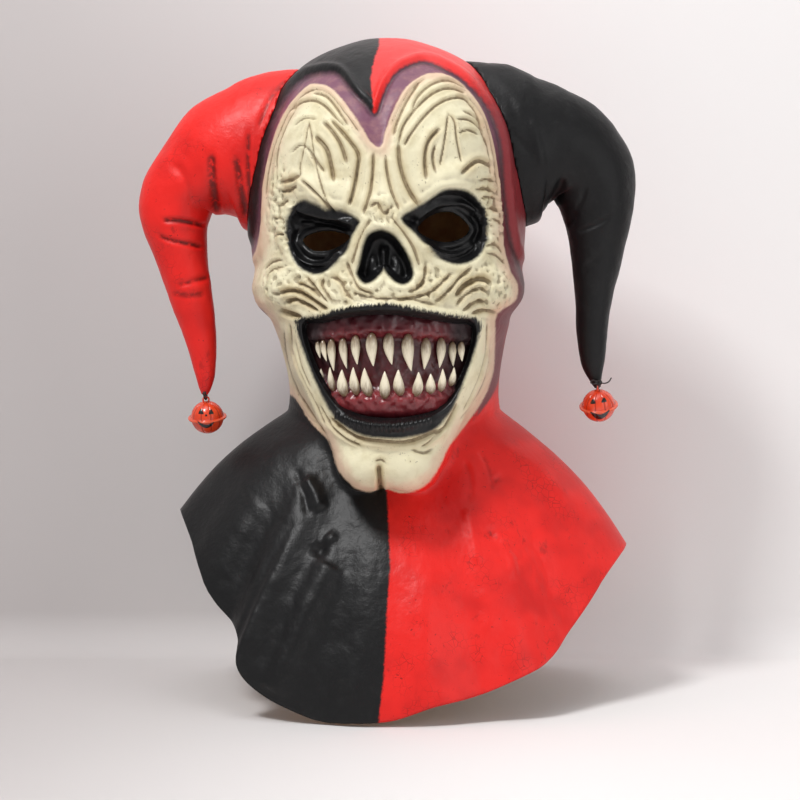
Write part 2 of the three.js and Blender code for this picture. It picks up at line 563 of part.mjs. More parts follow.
// A round jingle bell of two pressed halves with a crimped rim, an eyelet on top and a slot below.
function makeBell(hang, place) {
  const revolved = (profile) => {
    const rings = profile.map(([radius, height]) =>
      Array.from({ length: BELL_SIDES }, (_, i) => {
        const a = (i / BELL_SIDES) * Math.PI * 2;
        return new THREE.Vector3(radius * Math.cos(a), radius * Math.sin(a), height);
      }),
    );
    const top = new THREE.Vector3(0, 0, Math.hypot(...profile[0]));
    const bottom = top.clone().negate();
    return solid(lathed(top, rings, bottom));
  };
  const arc = (radius, from, to, count) =>
    Array.from({ length: count }, (_, i) => {
      const a = THREE.MathUtils.degToRad(mix(from, to, i / (count - 1)));
      return [radius * Math.cos(a), radius * Math.sin(a)];
    });
  const rim = BELL_RADIUS + BELL_RIM_REACH;
  const half = BELL_RIM_THICKNESS / 2;
  const above = arc(BELL_RADIUS, BELL_OUTSIDE_ARC, BELL_RIM_ARC, 5);
  const below = arc(BELL_RADIUS, -BELL_RIM_ARC, -BELL_OUTSIDE_ARC, 5);
  const outside = [...above, [rim, half], [rim, -half], ...below];
  const hollow = arc(BELL_RADIUS - BELL_WALL, BELL_HOLLOW_ARC, -BELL_HOLLOW_ARC, 6);
  const slot = new THREE.BoxGeometry(BELL_SLOT_SHARE * BELL_RADIUS, BELL_SLOT_WIDTH, BELL_RADIUS);
  slot.translate(0, 0, -BELL_RADIUS);
  const holes = [-1, 1].map((side) =>
    new THREE.CylinderGeometry(BELL_HOLE_RADIUS, BELL_HOLE_RADIUS, BELL_RADIUS, 8)
      .rotateX(Math.PI / 2)
      .translate(side * BELL_HOLE_SHARE * BELL_RADIUS, 0, -BELL_RADIUS),
  );
  const eyelet = new THREE.TorusGeometry(EYELET_RADIUS, EYELET_WIRE, 5, 10)
    .rotateX(Math.PI / 2)
    .rotateZ(Math.PI / 2 - THREE.MathUtils.degToRad(place.along))
    .translate(0, 0, BELL_RADIUS + EYELET_LIFT);
  const keep = revolved(hollow);
  const body = [slot, ...holes].reduce(
    (ball, cut) => ball.subtract(solid(cut)),
    revolved(outside).add(solid(eyelet)).subtract(keep),
  );
  return body
    .translate([0, 0, -BELL_RADIUS - EYELET_LIFT])
    .rotate([place.lean, -place.roll, 0])
    .translate(hang.toArray());
}

// A wire or thread through the horn's tip and the bell's eyelet, knotted, with a loose end on one side.
function makeTie(hole, hang, place) {
  const along = level(place.along);
  const loop = wireLoop(hole, hang, along, TIE_REACH, TIE_WIRE, 14, 5);
  const knotAt = hang.clone().lerp(hole, place.knot).addScaledVector(along, TIE_REACH * (place.end ? 0.85 : 0.97));
  const knot = solid(new THREE.SphereGeometry(KNOT_RADIUS, 7, 5)).translate(knotAt.toArray());
  const tie = loop.add(knot);
  if (!place.end) return tie;
  const end = [0, 0.35, 0.7, 1].map((share) => ({
    at: pointFrom(knotAt, [share * TIE_END_LENGTH, -1 * share, 2.4 * share ** 3]),
    half: TIE_WIRE,
    deep: TIE_WIRE,
  }));
  return tie.add(tube(end, 5, new THREE.Vector3(0, 1, 0)));
}

// A hollow horn, open where it is glued to the cap, with a hole in its tip that follows the tie.
function makeHorn(table, seat, hole, hang, place) {
  const across = new THREE.Vector3(0, 1, 0);
  const body = tube(hornStops(table, 0), HORN_SIDES, across);
  const hollow = tube(hornStops(table, HORN_WALL), HORN_SIDES, across);
  const bore = wireLoop(hole, hang, level(place.along), TIE_REACH, TIE_WIRE + TIE_HOLE_CLEARANCE, 14, 6);
  return largest(body.subtract(hollow).subtract(seat)).subtract(bore);
}

// Assembly
const finish = (color, roughness, metalness = 0) => new THREE.MeshStandardMaterial({ color, roughness, metalness });
const part = new THREE.Group();

function add(name, manifold, look) {
  const mesh = new THREE.Mesh(geometryOf(manifold), look);
  mesh.name = name;
  part.add(mesh);
}

const shell = makeShell();
add("mask_shell", shell, finish(0xe6dcb4, 0.55));
add("gum_and_teeth", makeGumsAndTeeth(shell), finish(0x8a3038, 0.35));

const capSeat = fullForm(GLUE_GAP, 2, relief);
for (const [name, table, color] of [
  ["red_horn", RED_HORN, 0xe0322a],
  ["black_horn", BLACK_HORN, 0x2c2c2b],
]) {
  const place = BELLS[name];
  const tip = hornStops(table, 0).pop().at;
  const hole = pointFrom(tip, place.tip);
  const hang = pointFrom(tip, place.hang);
  add(`horn_${name.replace("_horn", "")}`, makeHorn(table, capSeat, hole, hang, place), finish(color, 0.5));
  add(`bell_${name}`, makeBell(hang, place), finish(0xe85a2c, 0.4));
  add(`tie_${name}`, makeTie(hole, hang, place), finish(0x1a1a1a, 0.7));
}

export default part;
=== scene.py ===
"""A full-head jester mask of painted cast latex, laid over the solids of its frame.

Every length is in millimetres until a mesh is made. +Z is up, the face looks along -Y and +X is the
wearer's left.
The lines of the face are laid out on a board before it, as the eye sees them from the front.
"""

from __future__ import annotations

import logging
import math
from dataclasses import dataclass, field
from enum import Enum
from typing import Sequence

import bmesh
import bpy
import numpy as np
from mathutils import Matrix, Vector
from mathutils.kdtree import KDTree

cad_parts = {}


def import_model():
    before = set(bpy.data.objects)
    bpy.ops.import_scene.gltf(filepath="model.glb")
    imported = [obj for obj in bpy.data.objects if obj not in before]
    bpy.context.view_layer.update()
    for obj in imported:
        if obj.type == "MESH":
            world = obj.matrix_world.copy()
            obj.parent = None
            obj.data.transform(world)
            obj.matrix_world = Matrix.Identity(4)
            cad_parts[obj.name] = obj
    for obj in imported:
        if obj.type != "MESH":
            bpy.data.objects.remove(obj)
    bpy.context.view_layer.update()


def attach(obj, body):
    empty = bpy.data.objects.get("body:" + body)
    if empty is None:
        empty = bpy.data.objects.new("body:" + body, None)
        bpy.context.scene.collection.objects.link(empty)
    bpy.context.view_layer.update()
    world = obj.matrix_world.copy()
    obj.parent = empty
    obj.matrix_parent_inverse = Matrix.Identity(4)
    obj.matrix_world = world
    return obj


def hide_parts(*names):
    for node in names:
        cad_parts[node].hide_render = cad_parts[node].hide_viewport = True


LOG = logging.getLogger("jester_mask")
MM = 0.001
Place = tuple[float, float]
CELL_KEYS = (73856093, 19349663, 83492791)
SEED_KEY = 2654435761
MIXING_KEY = 1274126177


# Numbers and curves


def smooth(share: np.ndarray | float) -> np.ndarray | float:
    """Ease from 0 to 1.

    Args:
        share: how far along, also outside 0 to 1.

    Returns:
        The eased share, held at 0 and 1 outside the range.
    """
    held = np.clip(share, 0.0, 1.0)
    return held * held * (3.0 - 2.0 * held)


def bell_curve(distance: np.ndarray, width: float) -> np.ndarray:
    """Fall off from 1 on both sides of a line.

    Args:
        distance: distance from the line.
        width: distance at which it has fallen to about a third.

    Returns:
        The share at each distance.
    """
    return np.exp(-((distance / width) ** 2))


def between_four(four: Sequence[np.ndarray], share: np.ndarray) -> np.ndarray:
    """Go along a Catmull-Rom span.

    Args:
        four: the points before, at the start, at the end and after the span.
        share: how far along the span.

    Returns:
        The points on the span.
    """
    before, start, end, after = four
    bend = 2 * before - 5 * start + 4 * end - after
    twist = 3 * (start - end) + after - before
    return start + 0.5 * share * (end - before + share * (bend + share * twist))


def round_curve(points: np.ndarray, turns: np.ndarray) -> np.ndarray:
    """Follow a closed curve through some points.

    Args:
        points: the points it passes, in order.
        turns: where on it, as shares of the whole way round.

    Returns:
        One point for each turn.
    """
    place = (turns % 1.0) * len(points)
    first = np.floor(place).astype(int)
    share = (place - first)[:, None]
    return between_four([points[(first + step) % len(points)] for step in (-1, 0, 1, 2)], share)


def open_curve(points: np.ndarray, places: np.ndarray) -> np.ndarray:
    """Follow an open curve through some points, or through rows of points at once.

    Args:
        points: the points or rows it passes, in order.
        places: where on it, counted in points from the first.

    Returns:
        One point or row for each place.
    """
    last = len(points) - 1
    first = np.clip(np.floor(places).astype(int), 0, last - 1)
    share = (places - first).reshape((-1,) + (1,) * (points.ndim - 1))
    longer = np.concatenate([[2 * points[0] - points[1]], points, [2 * points[-1] - points[-2]]])
    return between_four([longer[first + step] for step in (0, 1, 2, 3)], share)


def uneven(places: np.ndarray, grain: float, seed: int) -> np.ndarray:
    """Give smooth random values over space.

    Args:
        places: points, one row each, with two or three columns.
        grain: size of its lumps.
        seed: which pattern.

    Returns:
        Values from -1 to 1.
    """
    scaled = places / grain
    cell = np.floor(scaled).astype(np.int64)
    share = smooth(scaled - cell)
    total = np.zeros(len(places))
    columns = places.shape[1]
    for corner in range(2**columns):
        step = np.array([(corner >> axis) & 1 for axis in range(columns)])
        key = ((cell + step) * np.array(CELL_KEYS)[:columns]).sum(axis=1) + seed * SEED_KEY
        key = (key ^ (key >> 13)) * MIXING_KEY & 0x7FFFFFFF
        weight = np.prod(np.where(step, share, 1.0 - share), axis=1)
        total += weight * ((key ^ (key >> 16)) % 4096 / 2047.5 - 1.0)
    return total


@dataclass(frozen=True)
class FrontBoard:
    """The board before the face, and the eye that looks at it.

    Attributes:
        eye_distance: from the eye to the board's middle.
        elevation: how far the eye looks down, in degrees.
        middle: the board's middle in space.
        middle_at: the board's own figures for its middle, across and up.
        breadth: how much of the board the picture takes in.
    """

    eye_distance: float = 1500.0
    elevation: float = 4.0
    middle: tuple[float, float, float] = (8.0, -60.0, -224.5)
    middle_at: Place = (8.0, -218.9)
    breadth: float = 496.0

    def axes(self) -> tuple[np.ndarray, np.ndarray, np.ndarray]:
        """Give the board's directions.

        Returns:
            Unit vectors to its right, up, and back towards the eye.
        """
        lift = math.radians(self.elevation)
        back = np.array([0.0, -math.cos(lift), math.sin(lift)])
        return np.array([1.0, 0.0, 0.0]), np.array([0.0, math.sin(lift), math.cos(lift)]), back

    def trace(self, points: np.ndarray) -> np.ndarray:
        """Find where points in space show on the board.

        Args:
            points: one row each.

        Returns:
            Their places across and up.
        """
        right, up, back = self.axes()
        off = points - np.array(self.middle)
        scale = self.eye_distance / (self.eye_distance - off @ back)
        across = self.middle_at[0] + (off @ right) * scale
        upwards = self.middle_at[1] + (off @ up) * scale
        return np.stack([across, upwards], axis=1)

    def reach(self, places: np.ndarray, depth: np.ndarray) -> np.ndarray:
        """Find the points in space that show at places on the board.

        Args:
            places: across and up, one row each.
            depth: their Y in space.

        Returns:
            One point for each place.
        """
        right, up, back = self.axes()
        eye = np.array(self.middle) + self.eye_distance * back
        across = (places[:, 0] - self.middle_at[0])[:, None] * right
        above = (places[:, 1] - self.middle_at[1])[:, None] * up
        ray = np.array(self.middle) + across + above - eye
        return eye + ray * ((depth - eye[1]) / ray[:, 1])[:, None]


BOARD = FrontBoard()


def line_distance(places: np.ndarray, line: np.ndarray, closed: bool) -> tuple[np.ndarray, np.ndarray]:
    """Measure from places on the board to a line of straight runs.

    Args:
        places: across and up, one row each.
        line: the line's corners.
        closed: whether the last corner joins the first.

    Returns:
        The distance to the line, and how far along it the nearest point lies.
    """
    ends = np.roll(line, -1, axis=0) if closed else line[1:]
    best = np.full(len(places), np.inf)
    along = np.zeros(len(places))
    gone = 0.0
    for start, end in zip(line, ends):
        run = end - start
        length = max(float(np.hypot(*run)), 1e-6)
        share = np.clip(((places - start) @ run) / length**2, 0.0, 1.0)
        off = places - start - share[:, None] * run
        distance = np.hypot(off[:, 0], off[:, 1])
        nearer = distance < best
        best[nearer] = distance[nearer]
        along[nearer] = gone + share[nearer] * length
        gone += length
    return best, along


@dataclass(frozen=True)
class Outline:
    """A closed line on the board, such as a socket's edge.

    Attributes:
        corners: the places it passes.
        reach: beyond this distance it isn't measured.
    """

    corners: tuple[Place, ...]
    reach: float = 14.0

    def line(self) -> np.ndarray:
        """Round the line off.

        Returns:
            Its places, four for each corner.
        """
        steps = 4 * len(self.corners)
        return round_curve(np.array(self.corners, dtype=float), np.arange(steps) / steps)

    def depth(self, places: np.ndarray) -> np.ndarray:
        """Measure how far inside the line places lie.

        Args:
            places: across and up, one row each.

        Returns:
            The distance from the line, negative outside.
        """
        line = self.line()
        low, high = line.min(axis=0) - self.reach, line.max(axis=0) + self.reach
        near = np.all((places > low) & (places < high), axis=1)
        close = places[near]
        inside = np.zeros(len(close), dtype=bool)
        for start, end in zip(line, np.roll(line, -1, axis=0)):
            crosses = (start[1] > close[:, 1]) != (end[1] > close[:, 1])
            rise = end[1] - start[1] if end[1] != start[1] else 1e-9
            cut = start[0] + (close[:, 1] - start[1]) * (end[0] - start[0]) / rise
            inside ^= crosses & (close[:, 0] < cut)
        distance = line_distance(close, line, closed=True)[0]
        result = np.full(len(places), -self.reach)
        result[near] = np.maximum(np.where(inside, distance, -distance), -self.reach)
        return result


@dataclass(frozen=True)
class Fold:
    """A wrinkle: a groove along a line on the board, or a ridge where its depth is negative.

    Attributes:
        path: the places it passes.
        depth: how deep it is.
        width: half its width.
        wash: how much dark wash stays in it, 0 to 1.
    """

    path: tuple[Place, ...]
    depth: float = 1.3
    width: float = 1.1
    wash: float = 0.75

    def share(self, places: np.ndarray, wider: float = 1.0) -> tuple[np.ndarray, np.ndarray]:
        """Measure how much of the fold there is at places near it.

        Args:
            places: across and up, one row each.
            wider: how much wider than its groove to take it.

        Returns:
            Which places are near, and for those the share of the full depth.
        """
        corners = np.array(self.path, dtype=float)
        line = open_curve(corners, np.linspace(0, len(corners) - 1, 3 * len(corners) - 2))
        reach = 3.2 * self.width * wider
        near = np.all((places > line.min(axis=0) - reach) & (places < line.max(axis=0) + reach), axis=1)
        distance, along = line_distance(places[near], line, closed=False)
        length = float(np.hypot(*np.diff(line, axis=0).T).sum())
        ends = smooth(np.minimum(along, length - along) / min(5.0, 0.35 * length) + 0.25)
        return near, ends * bell_curve(distance, self.width * wider)


@dataclass(frozen=True)
class Swell:
    """A rounded rise or hollow of the face.

    Attributes:
        at: its middle on the board.
        half: half its breadth and half its height.
        rise: how far it stands out, negative for a hollow.
        turn: how far it is turned, in degrees.
        flat: the share of it that is level.
    """

    at: Place
    half: Place
    rise: float
    turn: float = 0.0
    flat: float = 0.1

    def height(self, places: np.ndarray) -> np.ndarray:
        """Give its height at places.

        Args:
            places: across and up, one row each.

        Returns:
            The height at each place.
        """
        turn = math.radians(self.turn)
        off = places - np.array(self.at)
        across = (off[:, 0] * math.cos(turn) + off[:, 1] * math.sin(turn)) / self.half[0]
        along = (off[:, 1] * math.cos(turn) - off[:, 0] * math.sin(turn)) / self.half[1]
        return self.rise * smooth((1.0 - np.hypot(across, along)) / (1.0 - self.flat))


# The casting's form: the same sections as its solid


@dataclass(frozen=True)
class HeadSection:
    """A section of the head, in shares of the head's sizes.

    Attributes:
        down: how far below the crown its side lies.
        side: half its width.
        front: how far its front stands out.
        nape: how far its back stands out.
        corner: the point beside the front, across as a share of side and out as a share of the face's reach.
        jaw: the point before the side, in the same shares.
        sag: how much lower its front lies than its side.
    """

    down: float
    side: float
    front: float
    nape: float
    corner: Place
    jaw: Place
    sag: float


HEAD_SECTIONS = (
    HeadSection(0.003, 0.16, 0.15, 0.16, (0.57, 0.12), (0.91, 0.06), 0.0),
    HeadSection(0.016, 0.31, 0.3, 0.32, (0.57, 0.25), (0.91, 0.12), 0.0),
    HeadSection(0.035, 0.46, 0.45, 0.47, (0.57, 0.37), (0.91, 0.19), 0.0),
    HeadSection(0.062, 0.6, 0.59, 0.61, (0.57, 0.49), (0.91, 0.25), 0.0),
    HeadSection(0.1, 0.71, 0.72, 0.74, (0.57, 0.6), (0.91, 0.31), 0.0),
    HeadSection(0.152, 0.81, 0.84, 0.86, (0.57, 0.7), (0.91, 0.36), 0.0),
    HeadSection(0.224, 0.91, 0.93, 0.95, (0.58, 0.77), (0.91, 0.4), 0.0),
    HeadSection(0.3, 0.965, 0.98, 1.0, (0.59, 0.8), (0.91, 0.42), 0.0),
    HeadSection(0.374, 0.99, 1.0, 1.01, (0.6, 0.81), (0.91, 0.43), 0.0),
    HeadSection(0.44, 0.99, 1.0, 1.0, (0.6, 0.82), (0.91, 0.45), 0.0),
    HeadSection(0.503, 0.965, 1.0, 0.97, (0.62, 0.83), (0.92, 0.47), 0.0),
    HeadSection(0.56, 0.92, 1.0, 0.92, (0.63, 0.84), (0.92, 0.48), 0.002),
    HeadSection(0.615, 0.87, 1.01, 0.86, (0.66, 0.84), (0.93, 0.49), 0.01),
    HeadSection(0.667, 0.83, 1.02, 0.8, (0.67, 0.84), (0.93, 0.5), 0.03),
    HeadSection(0.715, 0.8, 1.02, 0.76, (0.64, 0.84), (0.88, 0.51), 0.065),
    HeadSection(0.757, 0.78, 1.015, 0.73, (0.54, 0.85), (0.78, 0.5), 0.115),
    HeadSection(0.79, 0.77, 1.01, 0.72, (0.46, 0.86), (0.7, 0.47), 0.15),
    HeadSection(0.812, 0.767, 0.95, 0.715, (0.4, 0.81), (0.66, 0.42), 0.175),
    HeadSection(0.826, 0.77, 0.8, 0.715, (0.36, 0.69), (0.65, 0.38), 0.172),
    HeadSection(0.84, 0.775, 0.63, 0.72, (0.36, 0.55), (0.66, 0.34), 0.145),
    HeadSection(0.856, 0.8, 0.585, 0.73, (0.4, 0.52), (0.69, 0.33), 0.155),
)


@dataclass(frozen=True)
class HemPoint:
    """A point of the hem, in shares of the bib's half-span, reach and drop.

    Attributes:
        across: how far to the wearer's left.
        out: how far to the front.
        down: how far below the crown.
    """

    across: float
    out: float
    down: float


HEM_POINTS = (
    HemPoint(-0.035, 1.0, 1.0),
    HemPoint(0.2, 0.965, 0.98),
    HemPoint(0.45, 0.86, 0.955),
    HemPoint(0.61, 0.74, 0.93),
    HemPoint(0.75, 0.6, 0.88),
    HemPoint(0.895, 0.31, 0.81),
    HemPoint(0.994, 0.0, 0.774),
    HemPoint(0.93, -0.42, 0.8),
    HemPoint(0.74, -0.75, 0.87),
    HemPoint(0.42, -0.92, 0.93),
    HemPoint(0.03, -0.98, 0.95),
    HemPoint(-0.37, -0.92, 0.93),
    HemPoint(-0.65, -0.75, 0.86),
    HemPoint(-0.82, -0.42, 0.77),
    HemPoint(-0.87, 0.0, 0.72),
    HemPoint(-0.8, 0.3, 0.77),
    HemPoint(-0.71, 0.51, 0.84),
    HemPoint(-0.6, 0.7, 0.883),
    HemPoint(-0.54, 0.79, 0.955),
    HemPoint(-0.3, 0.94, 0.995),
)


@dataclass(frozen=True)
class BibFold:
    """A soft fold that runs down the bib.

    Attributes:
        turn: where it runs, as a share of the way round from the front.
        wide: half its width as the same share.
        rise: its height as a share of the billow.
    """

    turn: float
    wide: float
    rise: float


BIB_FOLDS = (
    BibFold(0.045, 0.035, 0.5),
    BibFold(0.13, 0.05, 1.0),
    BibFold(0.2, 0.03, -0.6),
    BibFold(0.27, 0.05, 0.2),
    BibFold(0.42, 0.05, 0.8),
    BibFold(0.58, 0.05, 0.7),
    BibFold(0.73, 0.05, -0.3),
    BibFold(0.82, 0.035, -0.8),
    BibFold(0.885, 0.035, 0.9),
    BibFold(0.955, 0.03, -0.5),
)


@dataclass
class CastForm:
    """The smooth form under the mask's relief, from the crown over face and neck to the hem.

    Attributes:
        wall: how thick the latex is.
        head_height: from the crown to the underside of the chin.
        half_width: from the axis to the side of the cap.
        face_reach: from the axis to the face.
        nape_reach: from the axis to the back of the head.
        bib_half_span: from the axis to the hem's outermost point.
        bib_reach: from the axis to the front of the hem.
        bib_drop: from the crown to the hem's lowest point.
        billow: how far the bib's folds stand out at the hem.
        lean: how far the neck stands to the wearer's left, as a share of the half-width.
        side_set_back: how far the widest point lies behind the axis, as a share of the nape's reach.
        shoulder_rise: how far the bib bows outwards, as a share of its length.
        bib_shares: where the bib's sections lie between throat and hem.
    """

    wall: float = 2.5
    head_height: float = 280.0
    half_width: float = 88.0
    face_reach: float = 100.0
    nape_reach: float = 100.0
    bib_half_span: float = 155.0
    bib_reach: float = 112.0
    bib_drop: float = 419.0
    billow: float = 7.0
    lean: float = 0.06
    side_set_back: float = 0.06
    shoulder_rise: float = 0.06
    bib_shares: tuple[float, ...] = (0.16, 0.36, 0.58, 0.8, 1.0)

    def section(self, row: HeadSection) -> np.ndarray:
        """Lay out a section of the head.

        Args:
            row: its shares.

        Returns:
            Its ten points, from the front round by the wearer's left.
        """
        width = row.side * self.half_width
        lean = self.lean * self.half_width * float(smooth((row.down - 0.45) / 0.35))
        nape = row.nape * self.nape_reach

        def level(fall: float) -> float:
            """Give a point's height.

            Args:
                fall: its share of the section's sag.

            Returns:
                Its Z.
            """
            return self.wall - (row.down + row.sag * fall) * self.head_height

        half = [
            (row.corner[0] * width, -row.corner[1] * self.face_reach, level(0.96)),
            (row.jaw[0] * width, -row.jaw[1] * self.face_reach, level(0.3)),
            (width, self.side_set_back * self.nape_reach, level(0.0)),
            (0.69 * width, 0.74 * nape, level(0.0)),
        ]
        shift = [lean * (0.4 + 0.2 * step) for step in range(4)]
        front = (lean * 0.2, -row.front * self.face_reach, level(1.0))
        left = [(x + off, y, z) for (x, y, z), off in zip(half, shift)]
        right = [(-x + off, y, z) for (x, y, z), off in zip(half, shift)]
        return np.array([front, *left, (lean, nape, level(0.0)), *reversed(right)])

    def hem(self) -> np.ndarray:
        """Lay out the hem.

        Returns:
            Its points, from the front round by the wearer's left.
        """
        sizes = np.array([self.bib_half_span, -self.bib_reach, -self.bib_drop])
        shares = np.array([(point.across, point.out, point.down) for point in HEM_POINTS])
        return shares * sizes + np.array([0.0, 0.0, self.wall])

    def billow_at(self, turns: np.ndarray, share: float) -> np.ndarray:
        """Find how far the folds lift the bib.

        Args:
            turns: where round the bib.
            share: how far from the throat to the hem.

        Returns:
            The lift at each turn.
        """
        lift = np.zeros(len(turns))
        for row in BIB_FOLDS:
            gap = np.abs((turns - row.turn + 1.5) % 1.0 - 0.5)
            lift += row.rise * smooth(1.0 - gap / row.wide)
        return self.billow * float(smooth(share * 1.2)) * lift

    def surface(self, turns: np.ndarray, stations: np.ndarray) -> np.ndarray:
        """Give points of the form.

        Args:
            turns: where round the form, as shares from the front by the wearer's left.
            stations: how far down, counted in sections from the crown.

        Returns:
            Rows of points, one row for each station.
        """
        crown = np.tile(np.array([0.0, 0.0, self.wall]), (len(turns), 1))
        rows = [crown] + [round_curve(self.section(row), turns) for row in HEAD_SECTIONS]
        throat = rows[-1]
        hem = round_curve(self.hem(), turns)
        outwards = hem * np.array([1.0, 1.0, 0.0])
        outwards /= np.linalg.norm(outwards, axis=1, keepdims=True)
        outwards[:, 2] = 0.6
        outwards /= np.linalg.norm(outwards, axis=1, keepdims=True)
        length = np.linalg.norm(hem - throat, axis=1)
        for share in self.bib_shares:
            bow = math.sin(math.pi * share) * self.shoulder_rise * length + self.billow_at(turns, share)
            rows.append(throat + (hem - throat) * share + outwards * bow[:, None])
        return open_curve(np.stack(rows), stations)


def grid_normals(grid: np.ndarray, round_about: bool) -> np.ndarray:
    """Find the normals of a grid of points.

    Args:
        grid: rows of points.
        round_about: whether each row closes on itself.

    Returns:
        One unit vector for each point, to the left of the rows' way.
    """
    if round_about:
        beside = np.roll(grid, -1, axis=1) - np.roll(grid, 1, axis=1)
    else:
        beside = np.gradient(grid, axis=1)
    normals = np.cross(np.gradient(grid, axis=0), beside)
    return normals / np.maximum(np.linalg.norm(normals, axis=2, keepdims=True), 1e-9)


def spans(table: Sequence[tuple[float, float, int]]) -> np.ndarray:
    """Divide some stretches evenly.

    Args:
        table: rows of where a stretch starts, where it ends, and its number of steps.

    Returns:
        The places of all steps, without the last end.
    """
    return np.concatenate([np.linspace(start, end, count, endpoint=False) for start, end, count in table])


# The face on the board: outlines, swells and folds


SKIN = Outline(
    (
        (-4, -62), (-1, -52), (5, -37), (12, -25), (22, -18), (30, -16.5), (38, -18), (49, -26), (58, -38),
        (64, -55), (67.5, -72), (70, -100), (72, -122), (76, -138), (81, -148), (79, -158), (68, -166),
        (67, -182), (66, -200), (61, -216), (52, -230), (42, -243), (37, -250), (31, -262), (26, -269.5),
        (20, -274), (12, -276.5), (5, -276), (-2, -273.5), (-10, -276), (-16, -275), (-22, -272), (-30, -263),
        (-35, -248), (-38, -242), (-48, -232), (-57, -218), (-68, -207), (-72, -175), (-76, -164),
        (-86, -156), (-87, -140), (-80, -122), (-78, -100), (-77.5, -85), (-74, -70), (-68, -50), (-60, -36),
        (-50, -25), (-45, -23), (-35, -25.5), (-25, -36), (-15, -51), (-10, -59),
    ),
    reach=30.0,
)
HOOD_RIM = Outline(
    (
        (-7.5, -41), (-4, -32), (0, -22.5), (7, -14), (17, -9.5), (24, -8.5), (34, -12), (46, -19), (58, -31),
        (66, -44), (71, -60), (73, -85), (75, -105), (78, -122), (84, -140), (86, -154), (77, -168),
        (73, -182), (71, -200), (66, -215), (56, -229), (44.5, -243), (38, -252), (32, -264), (26, -272),
        (12, -278.5), (-2, -276), (-16, -277), (-24, -273), (-32, -265), (-38, -252),
        (-50, -241), (-60, -226), (-75, -206),
        (-79, -176), (-91, -160), (-91, -135), (-83, -118), (-80.5, -100), (-79, -85), (-75, -60),
        (-68.5, -40), (-59, -25), (-48, -17), (-36, -15), (-29, -17), (-20, -28), (-13, -35),
    ),
    reach=30.0,
)
MOUTH_PAINT = Outline(
    (
        (-56, -170), (-44, -167.5), (-30, -163), (-15, -160.5), (0, -159.5), (14, -161.5), (28, -164.5),
        (42, -167), (57, -170), (55, -185), (49, -203), (41, -222), (30, -236), (15, -241), (0, -242),
        (-18, -239), (-33, -228), (-43, -210), (-51, -190),
    )
)
MOUTH_OPENING = Outline(
    (
        (-50, -173), (-40, -171.5), (-28, -168.5), (-14, -166.5), (0, -166), (14, -167), (28, -169.5),
        (41, -171.5), (52, -173.5), (51, -187), (46, -202), (38, -217), (28, -225.5), (14, -229), (0, -230),
        (-16, -228), (-28, -221.5), (-38, -208), (-46, -191),
    )
)
LEFT_SOCKET = Outline(
    (
        (-17, -108.5), (-26, -102), (-36, -99.5), (-46, -96.5), (-53, -95.5), (-60, -104), (-61.5, -118),
        (-57, -133), (-46, -140.5), (-36, -138), (-26, -127.5), (-22, -117),
    )
)
RIGHT_SOCKET = Outline(
    (
        (9, -106.5), (18, -100), (27, -94), (36, -88.5), (48, -89), (56, -95), (61, -106), (61, -121),
        (55, -131), (43, -134.5), (30, -129), (18, -116),
    )
)
LEFT_EYE = Outline(
    (
        (-52, -120), (-47, -116), (-38, -114), (-30, -115), (-23, -117.5), (-28, -122.5), (-36, -126),
        (-46, -126),
    )
)
RIGHT_EYE = Outline(
    (
        (19, -113), (25, -106), (33, -102.5), (41, -103), (47, -107), (51, -113), (46, -118.5), (36, -121),
        (26, -118.5),
    )
)
NOSE = Outline(
    (
        (-4, -113.5), (-11, -116), (-14.5, -123), (-17, -134), (-18.5, -141), (-14, -146.5), (-8, -144.5),
        (-2, -139.5), (5, -145.5), (11, -147), (16, -142), (14, -132), (8.5, -122), (3, -116),
    )
)
SEAM = (
    (-4, 30), (-5, 0), (-7, -5), (-9, -12), (-10, -20), (-9, -40), (0, -278), (2, -320), (0, -350),
    (-2, -390), (-6, -425),
)

SWELLS = (
    Swell((-38, -56), (37, 46), 5.0, -8),
    Swell((35, -53), (37, 48), 5.0, 8),
    Swell((-4, -33), (14, 34), -2.5),
    Swell((-38, -90), (30, 15), 5.0, -16, 0.2),
    Swell((39, -83), (31, 14), 4.5, 14, 0.2),
    Swell((-3, -104), (18, 25), 4.5),
    Swell((0, -130), (32, 31), 3.5, 0, 0.3),
    Swell((2, -158), (66, 24), 7.0, 0, 0.2),
    Swell((72, -150), (22, 20), 7.0, 10, 0.2),
    Swell((-72, -152), (22, 20), 7.0, -10, 0.2),
    Swell((67, -188), (18, 18), -3.5),
    Swell((-67, -188), (18, 18), -3.5),
    Swell((3, -238), (42, 14), 5.0, 0, 0.2),
    Swell((15, -262), (19, 18), 5.0),
    Swell((-18, -262), (19, 18), 5.0),
)

